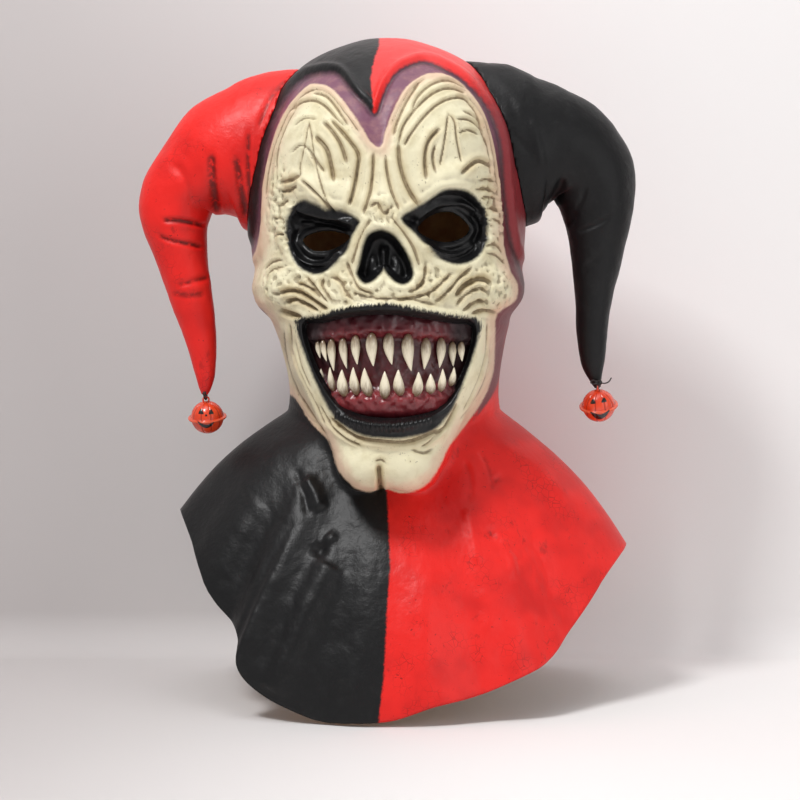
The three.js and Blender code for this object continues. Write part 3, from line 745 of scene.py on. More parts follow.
FOREHEAD_FOLDS = (
    Fold(((-46, -28.5), (-38, -30.5), (-32, -37), (-24, -49)), 1.1, 0.9),
    Fold(((-59, -40), (-54, -35), (-46, -33), (-38, -37), (-30, -46), (-25, -50)), 1.2, 0.9),
    Fold(((-58, -49), (-52, -44.5), (-43, -44.5)), 0.8, 0.8, 0.5),
    Fold(((-40, -46.5), (-35, -51), (-29, -60), (-25, -72)), 1.8, 1.3),
    Fold(((-35, -45), (-26, -55), (-18, -66), (-18.5, -76), (-21, -90), (-24, -99)), 2.0, 1.3),
    Fold(((-45, -55), (-38, -63), (-35, -73), (-33, -83)), 2.2, 1.6),
    Fold(((-48, -65), (-44, -71), (-38, -78)), 1.2, 1.0),
    Fold(((-48.5, -46), (-50, -56), (-53.5, -72), (-54, -80)), 0.9, 0.6, 0.9),
    Fold(((-48.5, -46), (-46, -60), (-43, -78), (-38, -94), (-33, -101)), 0.9, 0.6, 0.9),
    Fold(((-60, -66), (-54, -61), (-48, -64), (-42, -72)), 0.8, 0.8, 0.5),
    Fold(((-54, -82), (-47, -88), (-39, -96), (-30, -103)), 1.4, 0.9),
    Fold(((-8.5, -66), (-9, -78), (-11, -92), (-15, -104)), 1.6, 1.1),
    Fold(((4, -55), (6, -47), (12, -34), (20, -22)), 1.1, 0.8),
    Fold(((15, -40), (19, -31), (27, -23.5), (38, -21), (49, -27)), 1.1, 0.9),
    Fold(((7, -60), (10, -49), (18, -38), (28, -29), (38, -25.5), (48, -29)), 1.3, 0.9),
    Fold(((10, -62), (16, -52), (26, -40), (36, -33), (47, -32), (54, -40), (58, -50)), 1.3, 0.9),
    Fold(((7, -60), (8, -73), (13, -88), (20, -99)), 1.9, 1.5),
    Fold(((-1, -68), (0, -78), (3, -90), (8, -102)), 1.4, 1.0),
    Fold(((42, -45), (50, -45), (57, -51), (62, -62)), 1.0, 0.8),
    Fold(((47, -39.5), (54, -44), (60, -54)), 1.0, 0.8),
    Fold(((43, -54), (50, -51.5), (57, -54.5)), 0.9, 0.8),
    Fold(((38, -41), (36.5, -52), (35, -62), (32.5, -74)), 1.0, 0.7, 0.9),
    Fold(((38, -41), (42, -47), (43, -56), (46, -72)), 1.0, 0.7, 0.9),
    Fold(((33, -50), (26, -58), (23.5, -68), (24, -82)), 1.7, 1.3),
    Fold(((30, -60), (28, -68), (30, -78)), 1.2, 1.0),
    Fold(((-66, -62), (-70, -78), (-71, -96)), 0.6, 0.6, 0.5),
    Fold(((-64, -52), (-68, -66), (-68, -84)), 0.6, 0.6, 0.5),
    Fold(((60, -48), (65, -66), (67, -88)), 0.6, 0.6, 0.5),
)
EDGE_FOLDS = (
    Fold(
        ((-75, -92), (-72, -72), (-65, -50), (-57, -36), (-47, -27), (-36, -29), (-26, -41), (-17, -53)),
        0.7,
        0.6,
    ),
    Fold(((-73, -88), (-69, -68), (-62, -48), (-54, -35)), 0.6, 0.6, 0.6),
    Fold(((2, -50), (8, -37), (15, -26), (24, -19.5)), 0.7, 0.6),
    Fold(((49, -30), (57, -41), (62, -54), (65.5, -72), (67.5, -92)), 0.7, 0.6),
    Fold(((52, -36), (58, -47), (62, -62), (64, -80)), 0.6, 0.6, 0.6),
)
TEMPLE_FOLDS = (
    Fold(((46, -79), (51, -74), (57, -70.5), (64, -74)), 1.8, 1.5, 0.9),
    Fold(((57, -83), (62, -82), (66, -84)), 1.1, 0.9),
    Fold(((54, -89), (61, -88), (66, -91)), 1.3, 1.0),
    Fold(((57, -94), (62, -93), (68, -95)), 1.2, 0.9),
    Fold(((60, -101), (65, -100), (69, -103)), 1.1, 0.9),
    Fold(((62, -108), (66, -107), (70, -110)), 0.9, 0.8),
    Fold(((62, -124), (66, -122), (71, -128)), 1.0, 0.8),
    Fold(((61, -128), (67, -129), (73, -135)), 1.0, 0.8),
    Fold(((-66, -84), (-60, -83), (-54, -79)), 1.6, 1.5, 1.0),
    Fold(((-65, -90), (-60, -89), (-56, -86)), 1.5, 1.2, 1.0),
    Fold(((-68, -99), (-63, -97), (-60, -94)), 1.0, 0.9),
    Fold(((-70, -108), (-66, -106), (-63, -108)), 0.9, 0.8),
    Fold(((-70, -118), (-66, -116), (-63, -118)), 0.9, 0.8),
    Fold(((-76, -138), (-71, -133.5), (-65, -132)), 1.1, 0.8),
    Fold(((-75, -143), (-70, -138), (-63, -136)), 1.1, 0.8),
)
CHEEK_FOLDS = (
    Fold(((-57, -146), (-50, -148), (-44, -152), (-40, -157)), 1.5, 1.0),
    Fold(((-67, -153), (-58, -151), (-49, -154.5), (-37, -163)), 2.2, 1.4, 1.0),
    Fold(((-63, -158), (-56, -156.5), (-48, -160), (-42, -164)), 2.0, 1.3, 1.0),
    Fold(((-67, -163), (-60, -165), (-53, -168)), 2.4, 1.7, 1.0),
    Fold(((-50, -142), (-45, -148), (-36, -159)), 1.5, 1.0),
    Fold(((-39, -142), (-39.5, -149), (-34, -158)), 1.4, 1.0),
    Fold(((-35, -143), (-29, -145), (-25, -153), (-20, -157)), 1.5, 1.0),
    Fold(((-26, -129), (-33, -135), (-38, -143)), -1.2, 1.6, 0.0),
    Fold(((-25, -133), (-22, -141), (-17, -150), (-8, -153)), 1.3, 1.0),
    Fold(((24, -134), (23, -142), (20, -149), (12, -152)), 1.5, 1.1),
    Fold(((40, -140), (34, -146), (25, -153), (5, -157)), 1.5, 1.0),
    Fold(((53, -136), (46, -142), (38, -151), (30, -158)), 1.5, 1.0),
    Fold(((43, -155), (47, -149), (57, -143.5), (65, -147)), 2.8, 1.9, 0.9),
    Fold(((43, -160), (49, -153), (57, -149.5), (63, -153)), 1.6, 1.1),
    Fold(((47, -164), (54, -158), (62, -158)), 1.6, 1.1),
    Fold(((52, -166), (59, -163), (68, -165)), 1.6, 1.2),
    Fold(((-22, -152), (-6, -156), (12, -156), (30, -160)), 0.9, 0.9),
)
NOSE_FOLDS = (
    Fold(((-10, -107), (-15, -114), (-19, -124), (-22, -136)), 1.1, 0.9),
    Fold(((2, -105), (9, -113), (16, -124), (20, -136)), 1.1, 0.9),
    Fold(((-12, -100), (-6, -97), (-2, -103), (4, -98)), 1.3, 1.1),
    Fold(((-6, -108), (-4, -100), (-2, -92)), -0.8, 1.2, 0.0),
    Fold(((-2, -122), (-2, -131), (-1.5, -141)), -3.6, 1.8, 0.0),
)
SOCKET_FOLDS = (
    Fold(((-55, -100), (-44, -101.5), (-32, -104.5), (-19, -110.5)), -3.6, 3.0, 0.0),
    Fold(((-54, -106), (-44, -107.5), (-32, -110), (-21, -113.5)), 1.8, 1.1, 0.0),
    Fold(((-57, -127), (-49, -133), (-39, -134), (-28, -126)), -1.8, 1.8, 0.0),
    Fold(((-55, -131), (-47, -136.5), (-38, -136)), 1.2, 1.0, 0.0),
    Fold(((16, -108), (24, -101), (34, -96.5), (45, -97), (54, -103)), -2.2, 2.2, 0.0),
    Fold(((22, -101), (33, -93), (46, -92.5), (56, -100), (58, -112)), 1.2, 1.1, 0.0),
    Fold(((22, -122), (31, -127), (43, -128), (54, -121)), -1.8, 1.8, 0.0),
)
JAW_FOLDS = (
    Fold(((-35, -230), (-20, -241.5), (0, -245), (15, -244.5), (33, -237)), 2.2, 1.4),
    Fold(((-42, -222), (-34, -235), (-24, -243), (-15, -247)), 1.2, 1.0),
    Fold(((44, -220), (36, -235), (26, -244), (20, -248)), 1.2, 1.0),
    Fold(((-60, -172), (-58, -190), (-52, -206), (-44, -222), (-38, -234)), 1.0, 0.8),
    Fold(((-64, -176), (-62, -194), (-56, -212), (-46, -228), (-38, -240)), 1.0, 0.8),
    Fold(((-67, -180), (-66, -196), (-61, -212), (-52, -227)), 0.9, 0.8),
    Fold(((-57, -182), (-53, -198), (-47, -212)), 0.7, 0.7, 0.5),
    Fold(((62, -172), (61, -190), (56, -208), (47, -226)), 0.8, 0.8, 0.5),
    Fold(((64, -186), (61, -204), (54, -219), (45, -232)), 0.7, 0.7, 0.5),
    Fold(((-5, -259), (-4.5, -266), (-4, -276)), 2.6, 2.0, 0.7),
    Fold(((-8, -257.5), (-4.5, -255.8), (-1, -257.5)), 0.9, 0.9),
    Fold(((14, -249), (22, -252), (28, -249)), 0.8, 1.2, 0.6),
)


LIP_MIDDLE = (-2.0, -236.0)
LIP_BOW = 0.0085
RIB_HALF = 3.4
RIB_SHORTER = 0.8
RIB_LEAN = 0.5
RIB_DEPTH = -0.95
RIB_WIDTH = 0.75


def lip_ribs(first: float, last: float, pitch: float) -> tuple[Fold, ...]:
    """Set short upright ribs along the lower lip.

    Args:
        first: where the first one stands across the board.
        last: where the last one stands.
        pitch: distance between them.

    Returns:
        The ribs.
    """
    ribs = []
    for count, across in enumerate(np.arange(first, last, pitch)):
        middle = LIP_MIDDLE[1] + LIP_BOW * (across - LIP_MIDDLE[0]) ** 2
        half = RIB_HALF - RIB_SHORTER * (count % 3 == 1)
        line = ((across, middle + half), (across + RIB_LEAN, middle - half))
        ribs.append(Fold(line, RIB_DEPTH, RIB_WIDTH, 0.0))
    return tuple(ribs)


LIP_RIBS = lip_ribs(-31.0, 27.0, 2.7)
BIB_MARKS = (
    Fold(((-51, -267), (-45, -276), (-41, -288)), -3.4, 4.0, 0.0),
    Fold(((-57, -262), (-52, -274), (-49, -290)), 1.6, 2.4, 0.0),
    Fold(((-41.5, -308), (-41.5, -316)), 3.2, 4.2, 0.0),
    Fold(((-37, -302), (-33, -307)), -2.2, 4.0, 0.0),
    Fold(((-35, -320), (-48, -345), (-60, -372), (-72, -400)), -4.4, 8.5, 0.0),
    Fold(((-78, -282), (-88, -296), (-104, -328)), -1.6, 7.0, 0.0),
    Fold(((-62, -292), (-72, -318), (-84, -350)), 0.9, 5.5, 0.0),
    Fold(((62, -301), (68, -303)), 2.6, 3.0, 0.5),
    Fold(((66, -269), (73, -267)), 2.0, 2.4, 0.5),
    Fold(((50, -286), (53, -302), (57, -320)), -1.8, 3.4, 0.0),
    Fold(((72, -304), (76, -316), (80, -328)), -1.8, 3.2, 0.0),
    Fold(((58, -250), (64, -262), (66, -276)), 1.4, 2.2, 0.4),
    Fold(((48, -256), (52, -270), (50, -284)), 1.2, 2.2, 0.3),
    Fold(((84, -262), (98, -280), (116, -304)), 1.6, 4.0, 0.2),
    Fold(((70, -246), (90, -262), (112, -280)), -1.4, 4.5, 0.0),
    Fold(((96, -300), (104, -320), (106, -344)), -1.6, 4.0, 0.0),
    Fold(((60, -335), (64, -356), (60, -384)), -0.9, 6.0, 0.0),
    Fold(((26, -330), (24, -360), (22, -392)), -0.7, 6.0, 0.0),
)
ROUGH_PARTS = (
    Swell((-64, -102), (13, 34), 1.0, 0, 0.4),
    Swell((64, -105), (12, 34), 1.0, 0, 0.4),
    Swell((-3, -103), (13, 15), 0.9, 0, 0.4),
    Swell((-60, -148), (22, 17), 0.9, 0, 0.5),
    Swell((62, -150), (20, 17), 0.9, 0, 0.5),
    Swell((-30, -148), (16, 14), 0.7, 0, 0.5),
    Swell((28, -146), (16, 14), 0.7, 0, 0.5),
    Swell((0, -153), (44, 8), 0.6, 0, 0.5),
)
BIB_ROUGH_PARTS = (
    Swell((89, -316), (26, 28), 1.0, 0, 0.4),
    Swell((40, -300), (40, 34), 0.4, 0, 0.3),
)


# Meshes from grids


def link(mesh: bpy.types.Mesh, name: str) -> bpy.types.Object:
    """Put a mesh into the scene as an object at the origin.

    Args:
        mesh: the mesh.
        name: the object's name.

    Returns:
        The object.
    """
    item = bpy.data.objects.new(name, mesh)
    bpy.context.scene.collection.objects.link(item)
    return item


def mesh_from(name: str, points: np.ndarray, faces: Sequence[Sequence[int]]) -> bpy.types.Mesh:
    """Make a mesh.

    Args:
        name: its name.
        points: its points in millimetres, one row each.
        faces: the numbers of each face's points.

    Returns:
        The mesh, in metres.
    """
    mesh = bpy.data.meshes.new(name)
    mesh.vertices.add(len(points))
    mesh.vertices.foreach_set("co", (np.asarray(points, dtype=float) * MM).ravel())
    counts = np.array([len(face) for face in faces])
    mesh.loops.add(int(counts.sum()))
    mesh.loops.foreach_set("vertex_index", np.concatenate([np.asarray(face) for face in faces]))
    mesh.polygons.add(len(faces))
    mesh.polygons.foreach_set("loop_start", np.concatenate([[0], np.cumsum(counts)[:-1]]))
    mesh.update(calc_edges=True)
    mesh.validate()
    mesh.shade_smooth()
    return mesh


def set_values(mesh: bpy.types.Mesh, name: str, values: np.ndarray) -> None:
    """Store one number for each point of a mesh.

    Args:
        mesh: the mesh.
        name: the attribute's name.
        values: the numbers.
    """
    attribute = mesh.attributes.get(name) or mesh.attributes.new(name, "FLOAT", "POINT")
    attribute.data.foreach_set("value", np.asarray(values, dtype=np.float32))


def values_of(mesh: bpy.types.Mesh, name: str) -> np.ndarray:
    """Read one number for each point of a mesh.

    Args:
        mesh: the mesh.
        name: the attribute's name.

    Returns:
        The numbers.
    """
    values = np.zeros(len(mesh.vertices), dtype=np.float32)
    mesh.attributes[name].data.foreach_get("value", values)
    return values


def places_of(mesh: bpy.types.Mesh) -> np.ndarray:
    """Read a mesh's points.

    Args:
        mesh: the mesh.

    Returns:
        One row for each point, in millimetres.
    """
    values = np.zeros(len(mesh.vertices) * 3)
    mesh.vertices.foreach_get("co", values)
    return values.reshape(-1, 3) / MM


def ring_quads(rows: int, columns: int, first: int = 0) -> np.ndarray:
    """Number the faces between closed rings.

    Args:
        rows: how many rings there are.
        columns: how many points each has.
        first: number of the first ring's first point.

    Returns:
        Four numbers for each face, seen from outside where the rings run downwards and leftwards.
    """
    index = first + np.arange(rows * columns).reshape(rows, columns)
    beside = np.roll(index, -1, axis=1)
    return np.stack([index[:-1], index[1:], beside[1:], beside[:-1]], axis=-1).reshape(-1, 4)


def cut(item: bpy.types.Object, tools: Sequence[bpy.types.Object], operation: str = "DIFFERENCE") -> None:
    """Cut a closed mesh with others, which are then removed.

    Args:
        item: the object to cut.
        tools: what it is cut with.
        operation: DIFFERENCE, INTERSECT or UNION.
    """
    for tool in tools:
        modifier = item.modifiers.new("cut", "BOOLEAN")
        modifier.operation = operation
        modifier.object = tool
        modifier.solver = "MANIFOLD"
        evaluated = item.evaluated_get(bpy.context.evaluated_depsgraph_get())
        made = bpy.data.meshes.new_from_object(evaluated)
        item.modifiers.remove(modifier)
        item.data = made
        bpy.data.objects.remove(tool)


def prism(outline: Outline, near: float, far: float) -> bpy.types.Object:
    """Make a closed bar that shows as an outline on the board.

    Args:
        outline: what it shows as.
        near: Y of its front.
        far: Y of its back.

    Returns:
        The bar.
    """
    line = outline.line()
    count = len(line)
    rings = [BOARD.reach(line, np.full(count, depth)) for depth in (near, far)]
    after = [(i + 1) % count for i in range(count)]
    faces: list[Sequence[int]] = [(i, after[i], count + after[i], count + i) for i in range(count)]
    faces += [tuple(range(count))[::-1], tuple(range(count, 2 * count))]
    mesh = mesh_from("bar", np.concatenate(rings), faces)
    work = bmesh.new()
    work.from_mesh(mesh)
    bmesh.ops.recalc_face_normals(work, faces=work.faces)
    work.to_mesh(mesh)
    work.free()
    return link(mesh, "bar")


# The casting


@dataclass
class FaceRelief:
    """How the face and the bib stand out from the form, in millimetres.

    Attributes:
        socket_depth: depth of the eye sockets.
        nose_depth: depth of the nose.
        lip_height: how far the lips stand out.
        rim_height: how far the hood's rim stands out.
        rim_width: half the width of the rim.
        rough_height: height of the crumpled parts.
        crumple: size of their lumps.
        fold_depth: how deep a fold of depth 1 is.
        fold_shoulder: how far its shoulders stand out.
        shoulder_width: how much wider they are than the fold.
        mark_depth: how deep a fold of depth 1 is in the bib.
    """

    socket_depth: float = 10.5
    nose_depth: float = 10.0
    lip_height: float = 3.2
    rim_height: float = 2.4
    rim_width: float = 2.4
    rough_height: float = 1.9
    crumple: float = 3.6
    fold_depth: float = 2.3
    fold_shoulder: float = 0.95
    shoulder_width: float = 2.9
    mark_depth: float = 0.9

    def forms(self, places: np.ndarray) -> np.ndarray:
        """Give the height of the large forms.

        Args:
            places: across and up on the board.

        Returns:
            The height at each place, along the form's normal.
        """
        return sum(swell.height(places) for swell in SWELLS)

    def hollows(self, places: np.ndarray) -> np.ndarray:
        """Give the height of sockets, nose and lips.

        Args:
            places: across and up on the board.

        Returns:
            The height at each place, towards the eye.
        """
        height = np.zeros(len(places))
        for socket, eye in ((LEFT_SOCKET, LEFT_EYE), (RIGHT_SOCKET, RIGHT_EYE)):
            inside = socket.depth(places)
            ring = eye.depth(places)
            height -= self.socket_depth * smooth((inside + 1.0) / 9.0)
            height += 1.6 * bell_curve(inside + 3.0, 2.6)
            lid = 2.6 * bell_curve(ring + 2.2, 2.0) - 1.1 * bell_curve(ring + 5.6, 1.3)
            height += lid * smooth(inside / 3.0)
            height += 1.2 * bell_curve(ring + 8.0, 1.8) * smooth(inside / 4.0)
        inside = NOSE.depth(places)
        height -= self.nose_depth * smooth((inside + 0.8) / 6.0)
        height += 1.8 * bell_curve(inside + 2.6, 2.2)
        for side in (Swell((-9, -136), (7, 11), 4.0), Swell((6.5, -137), (7, 11), 4.0)):
            height += side.height(places) * smooth(inside / 2.0)
        opening = MOUTH_OPENING.depth(places)
        lip = bell_curve(opening + 5.0, 3.6) - 1.6 * smooth(1.0 + opening / 3.4)
        height += self.lip_height * lip
        return height

    def folds(self, places: np.ndarray) -> tuple[np.ndarray, np.ndarray, np.ndarray]:
        """Give the height of wrinkles and of the hood's rim.

        Args:
            places: across and up on the board.

        Returns:
            The height at each place along the normal, the dark wash left there, and the thin glaze and
            painted shade around it.
        """
        height = np.zeros(len(places))
        wash, glaze_and_shade = np.zeros(len(places)), np.zeros(len(places))
        face = (FOREHEAD_FOLDS, EDGE_FOLDS, TEMPLE_FOLDS, CHEEK_FOLDS, NOSE_FOLDS, SOCKET_FOLDS, JAW_FOLDS)
        for fold in (fold for group in (*face, LIP_RIBS) for fold in group):
            near, core = fold.share(places)
            height[near] -= self.fold_depth * fold.depth * core
            if fold.depth > 0:
                beside, shoulders = fold.share(places, wider=self.shoulder_width)
                height[beside] += self.fold_shoulder * fold.depth * shoulders
                # the glaze round a fold's shoulders is partly painted shade
                glaze_and_shade[beside] = np.maximum(glaze_and_shade[beside], min(fold.depth, 1.5) / 1.5 * fold.wash * shoulders)
            wash[near] = np.maximum(wash[near], fold.wash * core)
        for mark in BIB_MARKS:
            near, core = mark.share(places)
            height[near] -= self.mark_depth * mark.depth * core
            wash[near] = np.maximum(wash[near], mark.wash * core)
        upper = smooth((places[:, 1] + 165.0) / 45.0)
        rim = -HOOD_RIM.depth(places)
        height += upper * self.rim_height * bell_curve(rim - 2.6, self.rim_width)
        height -= upper * 0.9 * bell_curve(rim + 1.2, 1.4)
        border = SKIN.depth(places)
        height += upper * 0.9 * bell_curve(border - 1.5, 1.6)
        wash = np.maximum(wash, 0.6 * upper * bell_curve(border + 0.2, 0.8))
        return height, wash, glaze_and_shade


@dataclass
class MaskShell:
    """The casting of cap, face, neck and bib.

    Attributes:
        form: the smooth form under the relief.
        relief: what stands out from it.
        coarse: every how many rows and columns the inner wall has one.
        reach: how many rows and columns around it the inner wall keeps clear of hollows.
    """

    form: CastForm
    relief: FaceRelief = field(default_factory=FaceRelief)
    coarse: int = 2
    reach: int = 6

    def turns(self) -> np.ndarray:
        """Lay out the columns, closer together over the face.

        Returns:
            Where they stand, as shares of the way round.
        """
        half = spans([(0.0, 0.1, 60), (0.1, 0.2, 36), (0.2, 0.3, 12), (0.3, 0.4, 6), (0.4, 0.5, 6)])
        return np.concatenate([half, [0.5], 1.0 - half[:0:-1]])

    def stations(self) -> np.ndarray:
        """Lay out the rows, closer together over the face.

        Returns:
            Where they lie, counted in sections from the crown.
        """
        last = len(HEAD_SECTIONS) + len(self.form.bib_shares)
        pieces = []
        spans = ((0.2, 3.0, 12), (3.0, 18.0, 276), (18.0, 21.0, 16), (21.0, float(last), 70))
        for start, end, count in spans:
            fine = np.linspace(start, end, 400)
            front = self.form.surface(np.array([0.0, 0.08]), fine).mean(axis=1)
            gone = np.concatenate([[0.0], np.cumsum(np.linalg.norm(np.diff(front, axis=0), axis=1))])
            pieces.append(np.interp(np.linspace(0.0, gone[-1], count, endpoint=False), gone, fine))
        return np.append(np.concatenate(pieces), float(last))

    def grid(self) -> tuple[np.ndarray, np.ndarray, dict[str, np.ndarray]]:
        """Lay out the outside.

        Returns:
            The outside's rows of points, the inner wall's points under each of them, and named values for
            each.
        """
        base = self.form.surface(self.turns(), self.stations())
        rows, columns = base.shape[:2]
        normals = grid_normals(base, round_about=True)
        faceward = smooth(-base[:, :, 1] / 30.0)
        places = BOARD.trace(base.reshape(-1, 3))
        lift = self.relief.forms(places).reshape(rows, columns) * faceward
        swollen = base + normals * lift[:, :, None]
        normals = grid_normals(swollen, round_about=True)
        places = BOARD.trace(swollen.reshape(-1, 3))
        hollows = self.relief.hollows(places).reshape(rows, columns) * faceward
        folds, wash, glaze_and_shade = self.relief.folds(places)
        folds = (folds + self.grain(swollen.reshape(-1, 3), places)).reshape(rows, columns) * faceward
        back = BOARD.axes()[2]
        outside = swollen + hollows[:, :, None] * back + folds[:, :, None] * normals
        fine = hollows + folds
        cavity = self.blurred(fine, 3) - fine
        values = {
            "wash": wash * faceward.ravel(),
            "glaze_and_shade": glaze_and_shade * faceward.ravel(),
            "cavity": cavity.ravel(),
            "faceward": faceward.ravel(),
        }
        values.update(self.paint_lines(outside.reshape(-1, 3), places))
        depth = self.lowest(np.minimum(fine, 0.0), self.reach)
        inside = swollen - normals * self.form.wall + np.minimum(depth, 0.0)[:, :, None] * back
        return outside, inside, values

    def grain(self, points: np.ndarray, places: np.ndarray) -> np.ndarray:
        """Give the height of the uneven skin.

        Args:
            points: the points in space.
            places: where they show on the board.

        Returns:
            The height at each point.
        """
        rough = np.clip(sum(part.height(places) for part in ROUGH_PARTS), 0.0, 1.0)
        bent = points + 2.5 * np.stack([uneven(points, 9.0, seed) for seed in (1, 2, 3)], axis=1)
        ridges = 1.0 - 2.2 * np.abs(uneven(bent, self.relief.crumple, 4))
        smaller = 1.0 - 2.2 * np.abs(uneven(bent, 0.55 * self.relief.crumple, 5))
        height = rough * self.relief.rough_height * (0.8 * ridges + 0.4 * smaller)
        bib = np.clip(sum(part.height(places) for part in BIB_ROUGH_PARTS), 0.0, 1.0)
        height += bib * 0.5 * (ridges - 0.3)
        lower = smooth(-(places[:, 1] + 235.0) / 12.0)
        lumps = 0.9 * uneven(points, 26.0, 6) + 0.4 * uneven(points, 9.0, 7) + 0.16 * uneven(points, 3.0, 8)
        height += lower * lumps
        return height + (1.0 - lower) * (0.22 * uneven(points, 6.0, 9) + 0.1 * uneven(points, 2.4, 10))

    @staticmethod
    def blurred(grid: np.ndarray, reach: int) -> np.ndarray:
        """Average a grid with its neighbours.

        Args:
            grid: the values, each row closed on itself.
            reach: how many neighbours on each side.

        Returns:
            The averages.
        """
        across = sum(np.roll(grid, step, axis=1) for step in range(-reach, reach + 1)) / (2 * reach + 1)
        padded = np.pad(across, ((reach, reach), (0, 0)), mode="edge")
        return sum(padded[step : step + len(grid)] for step in range(2 * reach + 1)) / (2 * reach + 1)

    @staticmethod
    def lowest(grid: np.ndarray, reach: int) -> np.ndarray:
        """Take the least value near each point of a grid.

        Args:
            grid: the values, each row closed on itself.
            reach: how many neighbours on each side.

        Returns:
            The least values.
        """
        across = np.minimum.reduce([np.roll(grid, step, axis=1) for step in range(-reach, reach + 1)])
        padded = np.pad(across, ((reach, reach), (0, 0)), mode="edge")
        return np.minimum.reduce([padded[step : step + len(grid)] for step in range(2 * reach + 1)])

    @staticmethod
    def paint_lines(points: np.ndarray, places: np.ndarray) -> dict[str, np.ndarray]:
        """Measure the borders between the paints.

        Args:
            points: the points in space.
            places: where they show on the board.

        Returns:
            Named distances for each point.
        """
        behind = -points[:, 1] + 3.0
        seam = np.interp(-places[:, 1], [-up for _, up in SEAM], [across for across, _ in SEAM])
        dark_parts = (MOUTH_PAINT, LEFT_SOCKET, RIGHT_SOCKET, NOSE)
        dark = np.maximum.reduce([line.depth(places) for line in dark_parts])
        return {
            "skin_edge": np.minimum(SKIN.depth(places), behind),
            "hood_edge": np.maximum(-HOOD_RIM.depth(places), -behind),
            "dark_edge": np.where(points[:, 1] < 0.0, dark, -14.0),
            "seam_side": places[:, 0] - np.where(points[:, 1] < 0.0, seam, 0.0),
            "board_up": places[:, 1],
            "board_across": places[:, 0],
        }

    def build(self) -> bpy.types.Object:
        """Make the casting with its openings.

        Returns:
            The object.
        """
        outside, inside, values = self.grid()
        rows, columns = outside.shape[:2]
        inner_rows = np.unique(np.concatenate([np.arange(0, rows - 1, self.coarse), [rows - 1]]))
        inner = inside[np.ix_(inner_rows, np.arange(0, columns, self.coarse))]
        count = inner.shape[1]
        crown = np.array([[0.0, 0.0, self.form.wall], [0.0, 0.0, 0.0]])
        points = np.concatenate([outside.reshape(-1, 3), inner.reshape(-1, 3), crown])
        first = rows * columns
        top, under = len(points) - 2, len(points) - 1
        faces = [tuple(quad) for quad in ring_quads(rows, columns).tolist()]
        faces += [tuple(quad)[::-1] for quad in ring_quads(len(inner), count, first).tolist()]
        faces += [(top, c, (c + 1) % columns) for c in range(columns)]
        faces += [(under, first + (c + 1) % count, first + c) for c in range(count)]
        outer_hem, inner_hem = (rows - 1) * columns, first + (len(inner) - 1) * count
        for c in range(count):
            edge = [outer_hem + (c * self.coarse + step) % columns for step in range(self.coarse + 1)]
            faces.append((*edge[::-1], inner_hem + c, inner_hem + (c + 1) % count))
        mesh = mesh_from("shell", points, faces)
        for name, row in values.items():
            set_values(mesh, name, np.concatenate([row, np.zeros(len(points) - first)]))
        inner = np.concatenate([np.zeros(first), np.ones(len(points) - first - 2), [0.0, 1.0]])
        set_values(mesh, "inner", inner)
        set_values(mesh, "known", np.ones(len(points)))
        item = link(mesh, "painted_shell")
        cut(item, [prism(line, -140.0, -45.0) for line in (LEFT_EYE, RIGHT_EYE, MOUTH_OPENING)])
        self.fill_in(item.data, list(values) + ["inner"])
        self.share_faces(item.data)
        return item

    def seat(self, gap: float) -> bpy.types.Object:
        """Make the cap's outside as a full body, which the horns are cut with.

        Args:
            gap: how far outside the casting it lies.

        Returns:
            The body.
        """
        outside = self.grid()[0]
        outside = outside + grid_normals(outside, round_about=True) * gap
        rows, columns = outside.shape[:2]
        ends = np.array([[0.0, 0.0, self.form.wall + gap], [0.0, 0.0, outside[-1, :, 2].mean()]])
        faces = [tuple(quad) for quad in ring_quads(rows, columns).tolist()]
        top = rows * columns
        last = top - columns
        faces += [(top, c, (c + 1) % columns) for c in range(columns)]
        faces += [(top + 1, last + (c + 1) % columns, last + c) for c in range(columns)]
        return link(mesh_from("seat", np.concatenate([outside.reshape(-1, 3), ends]), faces), "seat")

    @staticmethod
    def fill_in(mesh: bpy.types.Mesh, names: Sequence[str]) -> None:
        """Give the points of cut edges the values of the nearest old point.

        Args:
            mesh: the mesh.
            names: the values to give.
        """
        known = values_of(mesh, "known") > 0.5
        points = places_of(mesh)
        old = np.flatnonzero(known)
        tree = KDTree(len(old))
        for number in old:
            tree.insert(points[number], int(number))
        tree.balance()
        fresh = np.flatnonzero(~known)
        nearest = [tree.find(points[number])[1] for number in fresh]
        for name in names:
            values = values_of(mesh, name)
            values[fresh] = values[nearest]
            set_values(mesh, name, values)

    @staticmethod
    def share_faces(mesh: bpy.types.Mesh) -> None:
        """Give the inner wall the second material.

        Args:
            mesh: the mesh.
        """
        inner = values_of(mesh, "inner")
        starts = np.zeros(len(mesh.polygons), dtype=np.int64)
        corners = np.zeros(len(mesh.loops), dtype=np.int64)
        mesh.polygons.foreach_get("loop_start", starts)
        mesh.loops.foreach_get("vertex_index", corners)
        share = np.minimum.reduceat(inner[corners], starts)
        mesh.materials.clear()
        mesh.materials.append(None)
        mesh.materials.append(None)
        mesh.polygons.foreach_set("material_index", (share > 0.5).astype(np.int32))
        mesh.shade_smooth()


# Gums and teeth


@dataclass(frozen=True)
class Tooth:
    """A tooth as it shows on the board.

    Attributes:
        root: where it leaves the gum.
        tip: its point.
        width: its greatest width.
    """

    root: Place
    tip: Place
    width: float


